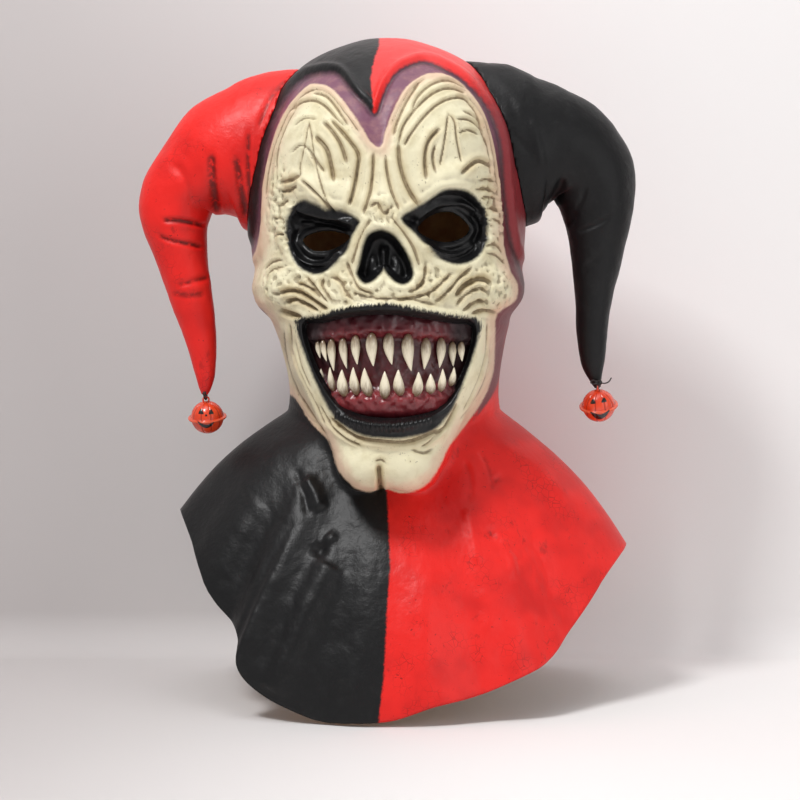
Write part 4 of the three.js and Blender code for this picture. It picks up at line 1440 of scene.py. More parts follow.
UPPER_TEETH = (
    Tooth((-43, -182), (-41.5, -193), 3.4),
    Tooth((-40, -181.5), (-37.5, -195), 3.6),
    Tooth((-34.5, -180.5), (-33, -201), 5.0),
    Tooth((-27.5, -180), (-25, -199.5), 5.0),
    Tooth((-19.5, -178.5), (-18.5, -197), 5.6),
    Tooth((-9.5, -177), (-8.5, -198), 6.8),
    Tooth((1, -177), (3, -197), 6.6),
    Tooth((13, -177.5), (15, -201), 7.4),
    Tooth((24, -180), (23, -200), 6.2),
    Tooth((33.5, -180), (32.5, -199), 5.6),
    Tooth((40.5, -182.5), (41, -198), 4.8),
    Tooth((46, -182.5), (46.5, -195), 4.2),
)
LOWER_TEETH = (
    Tooth((-40, -207), (-41, -199.5), 3.2),
    Tooth((-33, -213.5), (-35.5, -198.5), 4.2),
    Tooth((-26, -217), (-28, -200), 6.6),
    Tooth((-18.5, -216), (-21, -198.5), 5.8),
    Tooth((-10.5, -217), (-14, -199), 6.6),
    Tooth((-1.5, -218.5), (-1.5, -201), 6.4),
    Tooth((8.5, -216.5), (7, -200), 6.6),
    Tooth((17.5, -217), (19.5, -201.5), 6.2),
    Tooth((26.5, -215.5), (27, -202.5), 6.0),
    Tooth((33, -214), (34.5, -199.5), 4.8),
    Tooth((39, -210.5), (41.5, -198.5), 4.2),
)


@dataclass
class GumsAndTeeth:
    """The insert behind the lips.

    Attributes:
        form: the smooth form of the mask.
        set_back: from the form to the floor between the tooth rows.
        rise: how far the gums stand out from that floor.
        half_height: half the height of a gum.
        thickness: thickness of the insert.
        root_rise: how far the roots swell the gums.
        ring_rise: how far the gum stands out round a root.
        sunk: how deep the middle of a root lies in its gum, and how far its tip stands out.
        first_turn: where the insert ends to the side, as a share of the way round.
        stations: its first and last row on the form.
        upper_line: height of the upper gum on the board, and how it bends.
        lower_line: the same for the lower gum.
    """

    form: CastForm
    set_back: float = 8.0
    rise: float = 4.0
    half_height: float = 12.0
    thickness: float = 4.0
    root_rise: float = 2.3
    ring_rise: float = 1.3
    sunk: float = 0.9
    first_turn: float = 0.135
    stations: tuple[float, float] = (11.3, 17.2)
    upper_line: tuple[float, float] = (-170.5, -0.0016)
    lower_line: tuple[float, float] = (-221.0, 0.0034)

    def relief(self, places: np.ndarray) -> np.ndarray:
        """Give the gums' height over the floor.

        Args:
            places: across and up on the board.

        Returns:
            The height at each place.
        """
        across, up = places[:, 0], places[:, 1]
        ridges = []
        for level, bend in (self.upper_line, self.lower_line):
            off = np.abs(up - level - bend * across**2) / self.half_height
            ridges.append(smooth(1.6 * (1.0 - off)))
        height = self.rise * np.maximum(*ridges)
        for tooth, way in [(tooth, 1.0) for tooth in UPPER_TEETH] + [(tooth, -1.0) for tooth in LOWER_TEETH]:
            side = (across - tooth.root[0]) / (0.55 * tooth.width)
            above = (up - tooth.root[1]) * way
            body = smooth((above + 1.0) / 2.5) * smooth((13.0 - above) / 11.0)
            height += self.root_rise * np.exp(-(side**2)) * body
            ring = np.hypot(side * 0.8, np.minimum(above, 0.0) / 3.2)
            lip = bell_curve(ring - 1.0, 0.34) * smooth((above + 6.0) / 3.0) * smooth((4.0 - above) / 3.0)
            height += self.ring_rise * lip
        middle = smooth((up + 198.0) / 12.0) * bell_curve(across + 1.0, 1.6)
        height -= 0.8 * middle
        folds = 0.5 * uneven(places, 4.0, 21) + 0.25 * uneven(places, 1.8, 22)
        return height + folds

    def front(self) -> np.ndarray:
        """Lay out the insert's front.

        Returns:
            Its rows of points.
        """
        turns = np.linspace(-self.first_turn, self.first_turn, 190)
        rows = np.linspace(*self.stations, 130)
        base = self.form.surface(turns, rows)
        normals = grid_normals(base, round_about=False)
        floor = base - normals * self.set_back
        height = self.relief(BOARD.trace(floor.reshape(-1, 3))).reshape(base.shape[:2])
        return floor + normals * height[:, :, None]

    def build_gums(self) -> bpy.types.Object:
        """Make the gums.

        Returns:
            The object.
        """
        front = self.front()
        turns = np.linspace(-self.first_turn, self.first_turn, 40)
        rows = np.linspace(*self.stations, 30)
        base = self.form.surface(turns, rows)
        back = base - grid_normals(base, round_about=False) * (self.set_back + self.thickness)
        item = link(slab("gums", front, back), "gums")
        values = BOARD.trace(places_of(item.data))
        set_values(item.data, "board_across", values[:, 0])
        set_values(item.data, "board_up", values[:, 1])
        set_values(item.data, "rise", self.relief(values))
        return item

    def build_teeth(self, paint: bpy.types.Material) -> bpy.types.Object:
        """Make the teeth with Geometry Nodes.

        Args:
            paint: their material.

        Returns:
            The object.
        """
        front = self.front().reshape(-1, 3)
        shown = BOARD.trace(front)
        roots, sizes, turns = [], [], []
        for tooth in UPPER_TEETH + LOWER_TEETH:
            at = front[np.argmin(np.hypot(*(shown - np.array(tooth.root)).T))]
            root = BOARD.reach(np.array([tooth.root]), np.array([at[1] + self.sunk]))[0]
            tip = BOARD.reach(np.array([tooth.tip]), np.array([at[1] - self.sunk]))[0]
            along = Vector(tip - root)
            facing = along.to_track_quat("Z", "Y")
            roots.append(root)
            turns.append(tuple(facing.to_euler()))
            sizes.append((0.52 * tooth.width, 0.52 * tooth.width, along.length))
        mesh = bpy.data.meshes.new("tooth_roots")
        mesh.from_pydata([tuple(root * MM) for root in roots], [], [])
        for name, rows in (("facing", turns), ("size", [tuple(v * MM for v in size) for size in sizes])):
            attribute = mesh.attributes.new(name, "FLOAT_VECTOR", "POINT")
            attribute.data.foreach_set("vector", np.array(rows, dtype=np.float32).ravel())
        item = link(mesh, "teeth")
        modifier = item.modifiers.new("teeth", "NODES")
        fangs = ToothNodes()
        modifier.node_group = fangs.build()
        fangs.settle(modifier, paint)
        made = bpy.data.meshes.new_from_object(item.evaluated_get(bpy.context.evaluated_depsgraph_get()))
        item.modifiers.clear()
        item.data = made
        made.shade_smooth()
        return item


def slab(name: str, front: np.ndarray, back: np.ndarray) -> bpy.types.Mesh:
    """Close two patches of rows of points into a body.

    Args:
        name: the mesh's name.
        front: rows of the front's points, running downwards and leftwards.
        back: rows of the back's points, in the same order.

    Returns:
        The closed mesh.
    """
    points = np.concatenate([front.reshape(-1, 3), back.reshape(-1, 3)])
    faces: list[tuple[int, ...]] = []
    for grid, first, flipped in ((front, 0, False), (back, front.shape[0] * front.shape[1], True)):
        rows, columns = grid.shape[:2]
        index = first + np.arange(rows * columns).reshape(rows, columns)
        corners = [index[:-1, :-1], index[1:, :-1], index[1:, 1:], index[:-1, 1:]]
        quads = np.stack(corners, axis=-1).reshape(-1, 4)
        faces += [tuple(quad)[::-1] if flipped else tuple(quad) for quad in quads.tolist()]
    work = bmesh.new()
    work.from_mesh(mesh_from(name, points, faces))
    rim_edges = [edge for edge in work.edges if edge.is_boundary]
    bmesh.ops.bridge_loops(work, edges=rim_edges)
    bmesh.ops.recalc_face_normals(work, faces=work.faces)
    mesh = bpy.data.meshes.new(name)
    work.to_mesh(mesh)
    work.free()
    mesh.shade_smooth()
    return mesh


@dataclass
class ToothNodes:
    """The Geometry Nodes that set a curved fang on each root.

    Attributes:
        bow: how far a fang bends, as a share of its half-width.
        steps: how many rings it has.
        sides: how many sides it has.
        profile: places along the fang, and its radius there as a share of its half-width.
    """

    bow: float = -0.35
    steps: int = 30
    sides: int = 16
    profile: tuple[Place, ...] = (
        (0.0, 0.02),
        (0.03, 0.34),
        (0.1, 0.66),
        (0.22, 0.92),
        (0.36, 1.0),
        (0.55, 0.86),
        (0.78, 0.5),
        (0.93, 0.22),
        (1.0, 0.02),
    )

    def inputs(self) -> tuple[tuple[str, str, object], ...]:
        """List the group's inputs.

        Returns:
            Name, socket type and value of each.
        """
        return (
            ("Bow", "NodeSocketFloat", self.bow),
            ("Rings", "NodeSocketInt", self.steps),
            ("Sides", "NodeSocketInt", self.sides),
        )

    def settle(self, modifier: bpy.types.NodesModifier, paint: bpy.types.Material) -> None:
        """Set the modifier's inputs.

        Args:
            modifier: the modifier with the group.
            paint: the fangs' material.
        """
        values = {name: value for name, _, value in self.inputs()} | {"Paint": paint}
        for item in modifier.node_group.interface.items_tree:
            if item.in_out == "INPUT" and item.name in values:
                modifier[item.identifier] = values[item.name]

    def build(self) -> bpy.types.GeometryNodeTree:
        """Build the nodes.

        Returns:
            The node group.
        """
        group = bpy.data.node_groups.new("teeth", "GeometryNodeTree")
        group.interface.new_socket("Geometry", in_out="INPUT", socket_type="NodeSocketGeometry")
        for name, kind, _ in self.inputs():
            group.interface.new_socket(name, in_out="INPUT", socket_type=kind)
        group.interface.new_socket("Paint", in_out="INPUT", socket_type="NodeSocketMaterial")
        group.interface.new_socket("Geometry", in_out="OUTPUT", socket_type="NodeSocketGeometry")
        nodes, links = group.nodes, group.links

        def add(
            kind: str, inputs: dict[str | int, object] | None = None, **settings: object
        ) -> bpy.types.Node:
            """Add a node.

            Args:
                kind: the node's type.
                inputs: values or outputs for its inputs.
                settings: its own settings.

            Returns:
                The node.
            """
            made = nodes.new(kind)
            for name, value in settings.items():
                setattr(made, name, value)
            for name, value in (inputs or {}).items():
                if isinstance(value, bpy.types.NodeSocket):
                    links.new(value, made.inputs[name])
                else:
                    made.inputs[name].default_value = value
            return made

        start = add("NodeGroupInput").outputs
        straight = add("GeometryNodeCurvePrimitiveLine", {"Start": (0, 0, 0), "End": (0, 0, 1)})
        line = add("GeometryNodeResampleCurve", {"Curve": straight.outputs[0], "Count": start["Rings"]})
        along = add("GeometryNodeSplineParameter")
        radius = add("ShaderNodeFloatCurve", {"Value": along.outputs["Factor"]})
        curve = radius.mapping.curves[0]
        while len(curve.points) < len(self.profile):
            curve.points.new(0.5, 0.5)
        for point, (place, share) in zip(curve.points, self.profile):
            point.location = (place, share)
        radius.mapping.update()
        named = add(
            "GeometryNodeStoreNamedAttribute",
            {"Geometry": line.outputs[0], "Name": "tooth_along", "Value": along.outputs["Factor"]},
            data_type="FLOAT",
            domain="POINT",
        )
        sized = add("GeometryNodeSetCurveRadius", {"Curve": named.outputs[0], "Radius": radius.outputs[0]})
        ring = add("GeometryNodeCurvePrimitiveCircle", {"Resolution": start["Sides"], "Radius": 1.0})
        swept = {"Curve": sized.outputs[0], "Profile Curve": ring.outputs[0], "Fill Caps": True}
        fang = add("GeometryNodeCurveToMesh", swept)
        if "Scale" in fang.inputs:
            links.new(radius.outputs[0], fang.inputs["Scale"])
        stored = add("GeometryNodeInputNamedAttribute", {"Name": "tooth_along"}, data_type="FLOAT")
        share = stored.outputs["Attribute"]
        rest = add("ShaderNodeMath", {0: 1.0, 1: share}, operation="SUBTRACT").outputs[0]
        arch = add("ShaderNodeMath", {0: share, 1: rest}, operation="MULTIPLY").outputs[0]
        bend = add("ShaderNodeMath", {0: arch, 1: start["Bow"]}, operation="MULTIPLY").outputs[0]
        full = add("ShaderNodeMath", {0: bend, 1: 4.0}, operation="MULTIPLY").outputs[0]
        shift = add("ShaderNodeCombineXYZ", {"Y": full}).outputs[0]
        bent = add("GeometryNodeSetPosition", {"Geometry": fang.outputs[0], "Offset": shift})
        facing = add("GeometryNodeInputNamedAttribute", {"Name": "facing"}, data_type="FLOAT_VECTOR")
        size = add("GeometryNodeInputNamedAttribute", {"Name": "size"}, data_type="FLOAT_VECTOR")
        turned = add("FunctionNodeEulerToRotation", {"Euler": facing.outputs["Attribute"]})
        points = add("GeometryNodeMeshToPoints", {"Mesh": start["Geometry"]})
        row = add(
            "GeometryNodeInstanceOnPoints",
            {
                "Points": points.outputs[0],
                "Instance": bent.outputs[0],
                "Rotation": turned.outputs[0],
                "Scale": size.outputs["Attribute"],
            },
        )
        real = add("GeometryNodeRealizeInstances", {"Geometry": row.outputs[0]})
        painted = add("GeometryNodeSetMaterial", {"Geometry": real.outputs[0], "Material": start["Paint"]})
        finish = add("NodeGroupOutput", {0: painted.outputs[0]})
        finish.is_active_output = True
        return group


# Horns


@dataclass(frozen=True)
class HornStop:
    """A section of a horn, in shares of the horn's sizes.

    Attributes:
        x: how far its middle lies to the side.
        down: how far it lies below the crown.
        half: half its height, as a share of the one at the cap.
        deep: its depth as a share of its height.
    """

    x: float
    down: float
    half: float
    deep: float


BLACK_HORN = (
    HornStop(0.2, 0.308, 1.0, 0.7),
    HornStop(0.45, 0.308, 0.97, 0.72),
    HornStop(0.57, 0.308, 0.86, 0.76),
    HornStop(0.655, 0.311, 0.73, 0.82),
    HornStop(0.74, 0.332, 0.62, 0.88),
    HornStop(0.81, 0.378, 0.525, 0.92),
    HornStop(0.84, 0.442, 0.45, 0.95),
    HornStop(0.845, 0.51, 0.385, 0.97),
    HornStop(0.84, 0.582, 0.315, 1.0),
    HornStop(0.83, 0.69, 0.245, 1.0),
    HornStop(0.82, 0.805, 0.185, 1.0),
    HornStop(0.823, 0.9, 0.13, 1.0),
    HornStop(0.835, 0.952, 0.07, 0.9),
    HornStop(0.845, 0.977, 0.035, 0.9),
)
RED_HORN = (
    HornStop(-0.2, 0.322, 1.0, 0.7),
    HornStop(-0.45, 0.328, 0.95, 0.72),
    HornStop(-0.57, 0.334, 0.85, 0.76),
    HornStop(-0.672, 0.347, 0.7, 0.84),
    HornStop(-0.768, 0.386, 0.53, 0.9),
    HornStop(-0.835, 0.44, 0.43, 0.94),
    HornStop(-0.85, 0.512, 0.385, 0.96),
    HornStop(-0.826, 0.604, 0.305, 1.0),
    HornStop(-0.785, 0.722, 0.235, 1.0),
    HornStop(-0.747, 0.85, 0.18, 1.0),
    HornStop(-0.733, 0.93, 0.125, 1.0),
    HornStop(-0.733, 0.975, 0.075, 0.9),
    HornStop(-0.735, 0.997, 0.035, 0.9),
)
RED_HORN_FOLDS = (
    Fold(((-109, -66), (-108, -85), (-105, -106)), 2.6, 3.2, 0.9),
    Fold(((-94, -68), (-91, -84), (-87, -106)), 2.2, 2.6, 0.9),
    Fold(((-86, -52), (-86, -76), (-84, -104)), 1.4, 1.6, 0.8),
    Fold(((-62, -19), (-72, -32), (-80, -50)), 1.4, 1.8, 0.6),
    Fold(((-140, -107.5), (-128, -108), (-112, -111)), 2.2, 1.7, 0.9),
    Fold(((-143, -116), (-136, -119.5), (-124, -122), (-113, -124)), 1.9, 1.5, 0.9),
    Fold(((-131, -148), (-122, -146), (-109, -142)), 1.8, 1.8, 0.7),
    Fold(((-134, -152), (-124, -154), (-112, -153)), 1.2, 2.0, 0.7),
    Fold(((-120, -98), (-124, -84), (-132, -72)), 1.2, 3.0, 0.3),
)
BLACK_HORN_FOLDS = (
    Fold(((52, -14), (64, -24), (73, -36)), 1.6, 2.2, 0.3),
    Fold(((60, -16), (74, -30), (82, -48)), 1.2, 2.6, 0.3),
    Fold(((75, -48), (80, -56), (88, -64)), 1.2, 1.8, 0.3),
    Fold(((90, -44), (93, -58), (97, -74)), -1.2, 3.0, 0.0),
    Fold(((109, -82), (106, -90), (101, -98)), 3.0, 3.0, 0.5),
    Fold(((123, -86), (121, -94), (118, -100)), 1.0, 1.4, 0.2),
    Fold(((140, -104), (132, -109), (118, -115)), 1.4, 1.5, 0.2),
    Fold(((118, -102), (112, -112)), 1.6, 2.4, 0.3),
    Fold(((132, -130), (126, -134), (120, -140)), 1.0, 1.8, 0.2),
)


@dataclass
class JesterHorn:
    """One hollow horn of the cap.

    Attributes:
        name: the piece's name.
        stops: its sections from the cap to the tip.
        folds: its creases on the board.
        seed: which pattern of lumps.
        reach: from the axis to a horn's outermost point.
        drop: from the crown to a horn's lower end.
        half_height: half its height where it meets the cap.
        set_back: how far the middle of its base lies behind the axis.
        forward: how far its tip lies in front of its base.
        crown: height of the crown that the sections are measured down from.
        rows: how many sections its mesh has.
        sides: how many points a section has.
    """

    name: str
    stops: tuple[HornStop, ...]
    folds: tuple[Fold, ...]
    seed: int
    reach: float = 160.0
    drop: float = 228.0
    half_height: float = 56.5
    set_back: float = 6.0
    forward: float = 10.0
    crown: float = 2.5
    rows: int = 170
    sides: int = 112

    def sections(self, count: int) -> tuple[np.ndarray, np.ndarray]:
        """Lay out sections along the horn.

        Args:
            count: how many.

        Returns:
            Their middles, and their half-height and half-depth.
        """
        last = self.stops[-1].down
        rows = np.array(
            [
                (
                    stop.x * self.reach,
                    self.set_back - self.forward * float(smooth(stop.down / last)),
                    self.crown - stop.down * self.drop,
                    stop.half * self.half_height,
                    stop.half * stop.deep * self.half_height,
                )
                for stop in self.stops
            ]
        )
        fine = open_curve(rows, np.linspace(0.0, len(rows) - 1.0, count))
        return fine[:, :3], np.maximum(fine[:, 3:], 0.5)

    def build(self, seat: bpy.types.Object) -> bpy.types.Object:
        """Make the horn.

        Args:
            seat: the cap's outside as a body, which is cut away.

        Returns:
            The object.
        """
        middles, halves = self.sections(self.rows)
        along = np.gradient(middles, axis=0)
        along /= np.linalg.norm(along, axis=1, keepdims=True)
        in_plane = np.cross(np.array([0.0, 1.0, 0.0]), along)
        in_plane /= np.linalg.norm(in_plane, axis=1, keepdims=True)
        angle = -np.arange(self.sides) / self.sides * math.tau
        upwards = in_plane[:, None, :] * (halves[:, :1] * np.cos(angle))[:, :, None]
        forwards = np.array([0.0, 1.0, 0.0]) * (halves[:, 1:] * np.sin(angle))[:, :, None]
        rings = middles[:, None, :] + upwards + forwards
        normals = grid_normals(rings, round_about=True)
        outward = np.sum(normals * (rings - middles[:, None, :]), axis=2, keepdims=True)
        normals *= np.sign(outward)
        flat, places = rings.reshape(-1, 3), BOARD.trace(rings.reshape(-1, 3))
        faceward = smooth(-normals[:, :, 1].ravel() / 0.5)
        height = 1.1 * uneven(flat, 34.0, self.seed) + 0.5 * uneven(flat, 13.0, self.seed + 1)
        height += 0.14 * uneven(flat, 4.0, self.seed + 2)
        wash = np.zeros(len(flat))
        for fold in self.folds:
            near, core = fold.share(places)
            height[near] -= 1.2 * fold.depth * core * faceward[near]
            wash[near] = np.maximum(wash[near], fold.wash * core * faceward[near])
            if fold.depth > 0:
                wide, shoulder = fold.share(places, wider=2.2)
                height[wide] += 0.35 * fold.depth * shoulder * faceward[wide]
        thin = smooth(np.repeat(halves[:, 0], self.sides) / 14.0)
        points = flat + normals.reshape(-1, 3) * (height * thin)[:, None]
        ends = np.stack([middles[0], middles[-1] + along[-1] * 0.6])
        count = len(points)
        faces = [tuple(quad) for quad in ring_quads(self.rows, self.sides).tolist()]
        last = (self.rows - 1) * self.sides
        faces += [(count, side, (side + 1) % self.sides) for side in range(self.sides)]
        faces += [(count + 1, last + (side + 1) % self.sides, last + side) for side in range(self.sides)]
        mesh = mesh_from(self.name, np.concatenate([points, ends]), faces)
        work = bmesh.new()
        work.from_mesh(mesh)
        bmesh.ops.recalc_face_normals(work, faces=work.faces)
        work.to_mesh(mesh)
        work.free()
        set_values(mesh, "wash", np.append(wash, [0.0, 0.0]))
        set_values(mesh, "known", np.ones(count + 2))
        item = link(mesh, self.name)
        cut(item, [seat])
        keep_largest(item.data)
        MaskShell.fill_in(item.data, ["wash"])
        item.data.shade_smooth()
        return item


def keep_largest(mesh: bpy.types.Mesh) -> None:
    """Remove all bodies of a mesh but the one with the most points.

    Args:
        mesh: the mesh.
    """
    work = bmesh.new()
    work.from_mesh(mesh)
    left = set(work.verts)
    bodies = []
    while left:
        body, edge = set(), [left.pop()]
        while edge:
            vertex = edge.pop()
            body.add(vertex)
            for link_edge in vertex.link_edges:
                other = link_edge.other_vert(vertex)
                if other in left:
                    left.discard(other)
                    edge.append(other)
        bodies.append(body)
    bodies.sort(key=len)
    for body in bodies[:-1]:
        bmesh.ops.delete(work, geom=list(body), context="VERTS")
    work.to_mesh(mesh)
    work.free()


# Bells and ties


def tube(points: np.ndarray, radius: float, sides: int = 10) -> tuple[np.ndarray, list[tuple[int, ...]]]:
    """Lay a round wire along some points.

    Args:
        points: the wire's middle.
        radius: its radius.
        sides: how many sides it has.

    Returns:
        Its points and faces, closed at both ends.
    """
    along = np.gradient(points, axis=0)
    along /= np.linalg.norm(along, axis=1, keepdims=True)
    side = np.cross(along, np.array([0.3, 1.0, 0.2]))
    side /= np.linalg.norm(side, axis=1, keepdims=True)
    other = np.cross(along, side)
    angle = np.arange(sides) / sides * math.tau
    round_it = side[:, None] * np.cos(angle)[:, None] + other[:, None] * np.sin(angle)[:, None]
    rings = points[:, None] + radius * round_it
    faces = [tuple(quad)[::-1] for quad in ring_quads(len(points), sides).tolist()]
    last = (len(points) - 1) * sides
    faces += [tuple(range(sides))[::-1], tuple(range(last, last + sides))]
    return rings.reshape(-1, 3), faces


def lathe(name: str, profile: Sequence[Place], sides: int) -> bpy.types.Mesh:
    """Turn a profile about the Z axis.

    Args:
        name: the mesh's name.
        profile: radius and height, from the top pole to the bottom pole, both with radius 0.
        sides: how many sides it has.

    Returns:
        The closed mesh.
    """
    angle = np.arange(sides) / sides * math.tau
    rings = []
    for radius, height in profile[1:-1]:
        ring = [radius * np.cos(angle), radius * np.sin(angle), np.full(sides, height)]
        rings.append(np.stack(ring, axis=1))
    points = np.concatenate(rings + [np.array([[0.0, 0.0, profile[0][1]], [0.0, 0.0, profile[-1][1]]])])
    count = len(rings)
    top, last = count * sides, (count - 1) * sides
    faces = [tuple(quad) for quad in ring_quads(count, sides).tolist()]
    faces += [(top, side, (side + 1) % sides) for side in range(sides)]
    faces += [(top + 1, last + (side + 1) % sides, last + side) for side in range(sides)]
    return mesh_from(name, points, faces)


@dataclass(frozen=True)
class BellFace:
    """The face painted on a bell, in millimetres from the ball's middle as the eye sees it.

    Attributes:
        shapes: the black shapes.
    """

    shapes: tuple[tuple[Place, ...], ...]

    def ink(self, places: np.ndarray) -> np.ndarray:
        """Measure how far inside the black shapes places lie.

        Args:
            places: across and up from the ball's middle.

        Returns:
            The distance, negative outside.
        """
        return np.maximum.reduce([Outline(shape, reach=3.0).depth(places) for shape in self.shapes])


RED_HORN_FACE = BellFace(
    (
        ((-5.6, 2.2), (-3.9, 5.2), (-2.2, 2.0), (-3.9, 1.9)),
        ((0.8, 2.0), (2.3, 5.0), (4.0, 2.2), (2.4, 1.8)),
        ((-1.5, 0.6), (-0.8, 2.0), (0.0, 0.6)),
        (
            (-6.6, -1.8), (-4.6, -5.0), (-1.0, -6.8), (2.4, -5.6), (4.4, -2.8), (2.0, -4.0), (-1.0, -4.6),
            (-4.4, -3.4),
        ),
    )
)
BLACK_HORN_FACE = BellFace(
    (
        ((-5.2, 1.2), (-3.5, 4.2), (-1.8, 1.4), (-3.5, 0.9)),
        ((1.6, 2.0), (3.2, 5.0), (5.0, 2.6), (3.3, 1.9)),
        (
            (-5.4, -3.8), (-3.0, -7.2), (0.7, -8.6), (4.6, -6.6), (7.2, -2.2), (4.0, -4.4), (0.8, -5.6),
            (-2.6, -4.8),
        ),
    )
)


@dataclass
class JingleBell:
    """A round pressed bell painted as a lantern, hanging from a horn's tip.

    Attributes:
        name: the piece's name.
        hang: the middle of its eyelet.
        face: what is painted on it.
        lean: how far its top leans forwards, in degrees.
        roll: how far it leans sideways, in degrees.
        eyelet_turn: which way its eyelet lies, in degrees.
        radius: radius of the ball.
        sheet: thickness of its metal.
        rim_reach: how far the crimped rim stands out.
        rim_half: half the rim's thickness.
        groove: depth of the ribs' grooves.
        ribs: how many ribs there are.
        eyelet_lift: from the top of the ball to the eyelet's middle.
        eyelet_radius: radius of the eyelet's middle line.
        eyelet_wire: radius of the eyelet's wire.
        slot_width: width of the slot in the lower half.
        hole_radius: radius of the round holes at the slot's ends.
        sides: how many sides the ball's mesh has.
        hollow_sides: how many sides its hollow has.
    """

    name: str
    hang: tuple[float, float, float]
    face: BellFace
    lean: float
    roll: float
    eyelet_turn: float
    radius: float = 10.6
    sheet: float = 0.8
    rim_reach: float = 1.9
    rim_half: float = 0.55
    groove: float = 0.3
    ribs: int = 10
    eyelet_lift: float = 1.2
    eyelet_radius: float = 1.9
    eyelet_wire: float = 0.6
    slot_width: float = 1.8
    hole_radius: float = 1.9
    sides: int = 180
    hollow_sides: int = 48

    def profile(self, radius: float, rim: bool) -> list[Place]:
        """Lay out the ball's profile.

        Args:
            radius: radius of the ball.
            rim: whether it has the crimped rim.

        Returns:
            Radius and height from the top pole to the bottom one.
        """
        half = self.rim_half
        upper = [(radius * math.cos(a), radius * math.sin(a)) for a in np.radians(np.linspace(89.0, 4.5, 46))]
        reach = self.radius + self.rim_reach
        lip = [(reach - 0.9, half), (reach - 0.2, half), (reach, half * 0.4), (reach, -half * 0.4)]
        lip += [(reach - 0.2, -half), (reach - 0.9, -half)]
        lower = [(r, -z) for r, z in reversed(upper)]
        middle = lip if rim else []
        return [(0.0, radius), *upper, *middle, *lower, (0.0, -radius)]

    def place(self) -> Matrix:
        """Give the bell's place in space.

        Returns:
            A matrix in millimetres, from the ball's own middle.
        """
        drop = Matrix.Translation((0.0, 0.0, -self.radius - self.eyelet_lift))
        lean = Matrix.Rotation(math.radians(self.lean), 4, "X")
        roll = Matrix.Rotation(math.radians(-self.roll), 4, "Y")
        return Matrix.Translation(self.hang) @ roll @ lean @ drop

    def build(self) -> bpy.types.Object:
        """Make the bell.

        Returns:
            The object.
        """
        mesh = lathe(self.name, self.profile(self.radius, rim=True), self.sides)
        points = places_of(mesh)
        azimuth = np.arctan2(points[:, 1], points[:, 0])
        across = np.hypot(points[:, 0], points[:, 1])
        rib = np.abs(np.sin(azimuth * self.ribs / 2.0))
        seam = np.exp(-((rib / 0.2) ** 2)) * smooth(across / self.radius * 2.0) * (across < self.radius + 0.3)
        points *= 1.0 - (self.groove * seam / np.maximum(np.linalg.norm(points, axis=1), 1.0))[:, None]
        mesh.vertices.foreach_set("co", (points * MM).ravel())
        set_values(mesh, "seam", seam)
        set_values(mesh, "known", np.ones(len(points)))
        item = link(mesh, self.name)
        inside = self.profile(self.radius - self.sheet, rim=False)
        hollow = link(lathe("hollow", inside, self.hollow_sides), "hollow")
        length = 1.24 * self.radius
        tools = [hollow, self.block((length, self.slot_width, self.radius))]
        tools += [self.drill(side * 0.5 * length) for side in (-1.0, 1.0)]
        cut(item, tools)
        self.add_eyelet(item)
        item.data.transform(self.scaled(self.place()))
        self.paint(item.data)
        return item

    def block(self, size: tuple[float, float, float]) -> bpy.types.Object:
        """Make the bar that the slot is cut with.

        Args:
            size: its length, width and height.

        Returns:
            The bar.
        """
        work = bmesh.new()
        bmesh.ops.create_cube(work, size=1.0)
        bmesh.ops.scale(work, vec=[v * MM for v in size], verts=work.verts)
        bmesh.ops.translate(work, vec=(0.0, 0.0, -self.radius * MM), verts=work.verts)
        mesh = bpy.data.meshes.new("slot")
        work.to_mesh(mesh)
        work.free()
        return link(mesh, "slot")

    def drill(self, across: float) -> bpy.types.Object:
        """Make the round bar that an end of the slot is cut with.

        Args:
            across: where it stands.

        Returns:
            The bar.
        """
        work = bmesh.new()
        bmesh.ops.create_cone(
            work,
            cap_ends=True,
            segments=32,
            radius1=self.hole_radius * MM,
            radius2=self.hole_radius * MM,
            depth=self.radius * MM,
        )
        bmesh.ops.translate(work, vec=(across * MM, 0.0, -self.radius * MM), verts=work.verts)
        mesh = bpy.data.meshes.new("hole")
        work.to_mesh(mesh)
        work.free()
        return link(mesh, "hole")

    def add_eyelet(self, item: bpy.types.Object) -> None:
        """Add the wire eyelet on top of the ball.

        Args:
            item: the bell.
        """
        angle = np.linspace(-0.22 * math.pi, 1.22 * math.pi, 28)
        turn = math.radians(90.0 - self.eyelet_turn)
        level = self.eyelet_radius * np.cos(angle)
        lift = self.radius + self.eyelet_lift + self.eyelet_radius * np.sin(angle)
        middle = np.stack([level * math.cos(turn), level * math.sin(turn), lift], axis=1)
        points, faces = tube(middle, self.eyelet_wire, 10)
        work = bmesh.new()
        work.from_mesh(item.data)
        work.from_mesh(mesh_from("eyelet", points, faces))
        work.to_mesh(item.data)
        work.free()

    @staticmethod
    def scaled(matrix: Matrix) -> Matrix:
        """Turn a matrix in millimetres into one in metres.

        Args:
            matrix: the matrix.

        Returns:
            The matrix with its shift in metres.
        """
        return Matrix.Translation(matrix.to_translation() * MM) @ matrix.to_3x3().to_4x4()

    def paint(self, mesh: bpy.types.Mesh) -> None:
        """Measure the painted face.

        Args:
            mesh: the bell's mesh.
        """
        points = places_of(mesh)
        middle = np.array(self.place().to_translation())
        off = BOARD.trace(points) - BOARD.trace(middle[None])
        ink = self.face.ink(off)
        set_values(mesh, "ink", np.where(points[:, 1] < middle[1], ink, -3.0))
        local = np.array(self.place().to_3x3().inverted()) @ (points - middle).T
        reach = np.hypot(local[0], local[1])
        set_values(mesh, "rim", smooth((reach - self.radius - 0.2) / 0.6))
        mesh.shade_smooth()


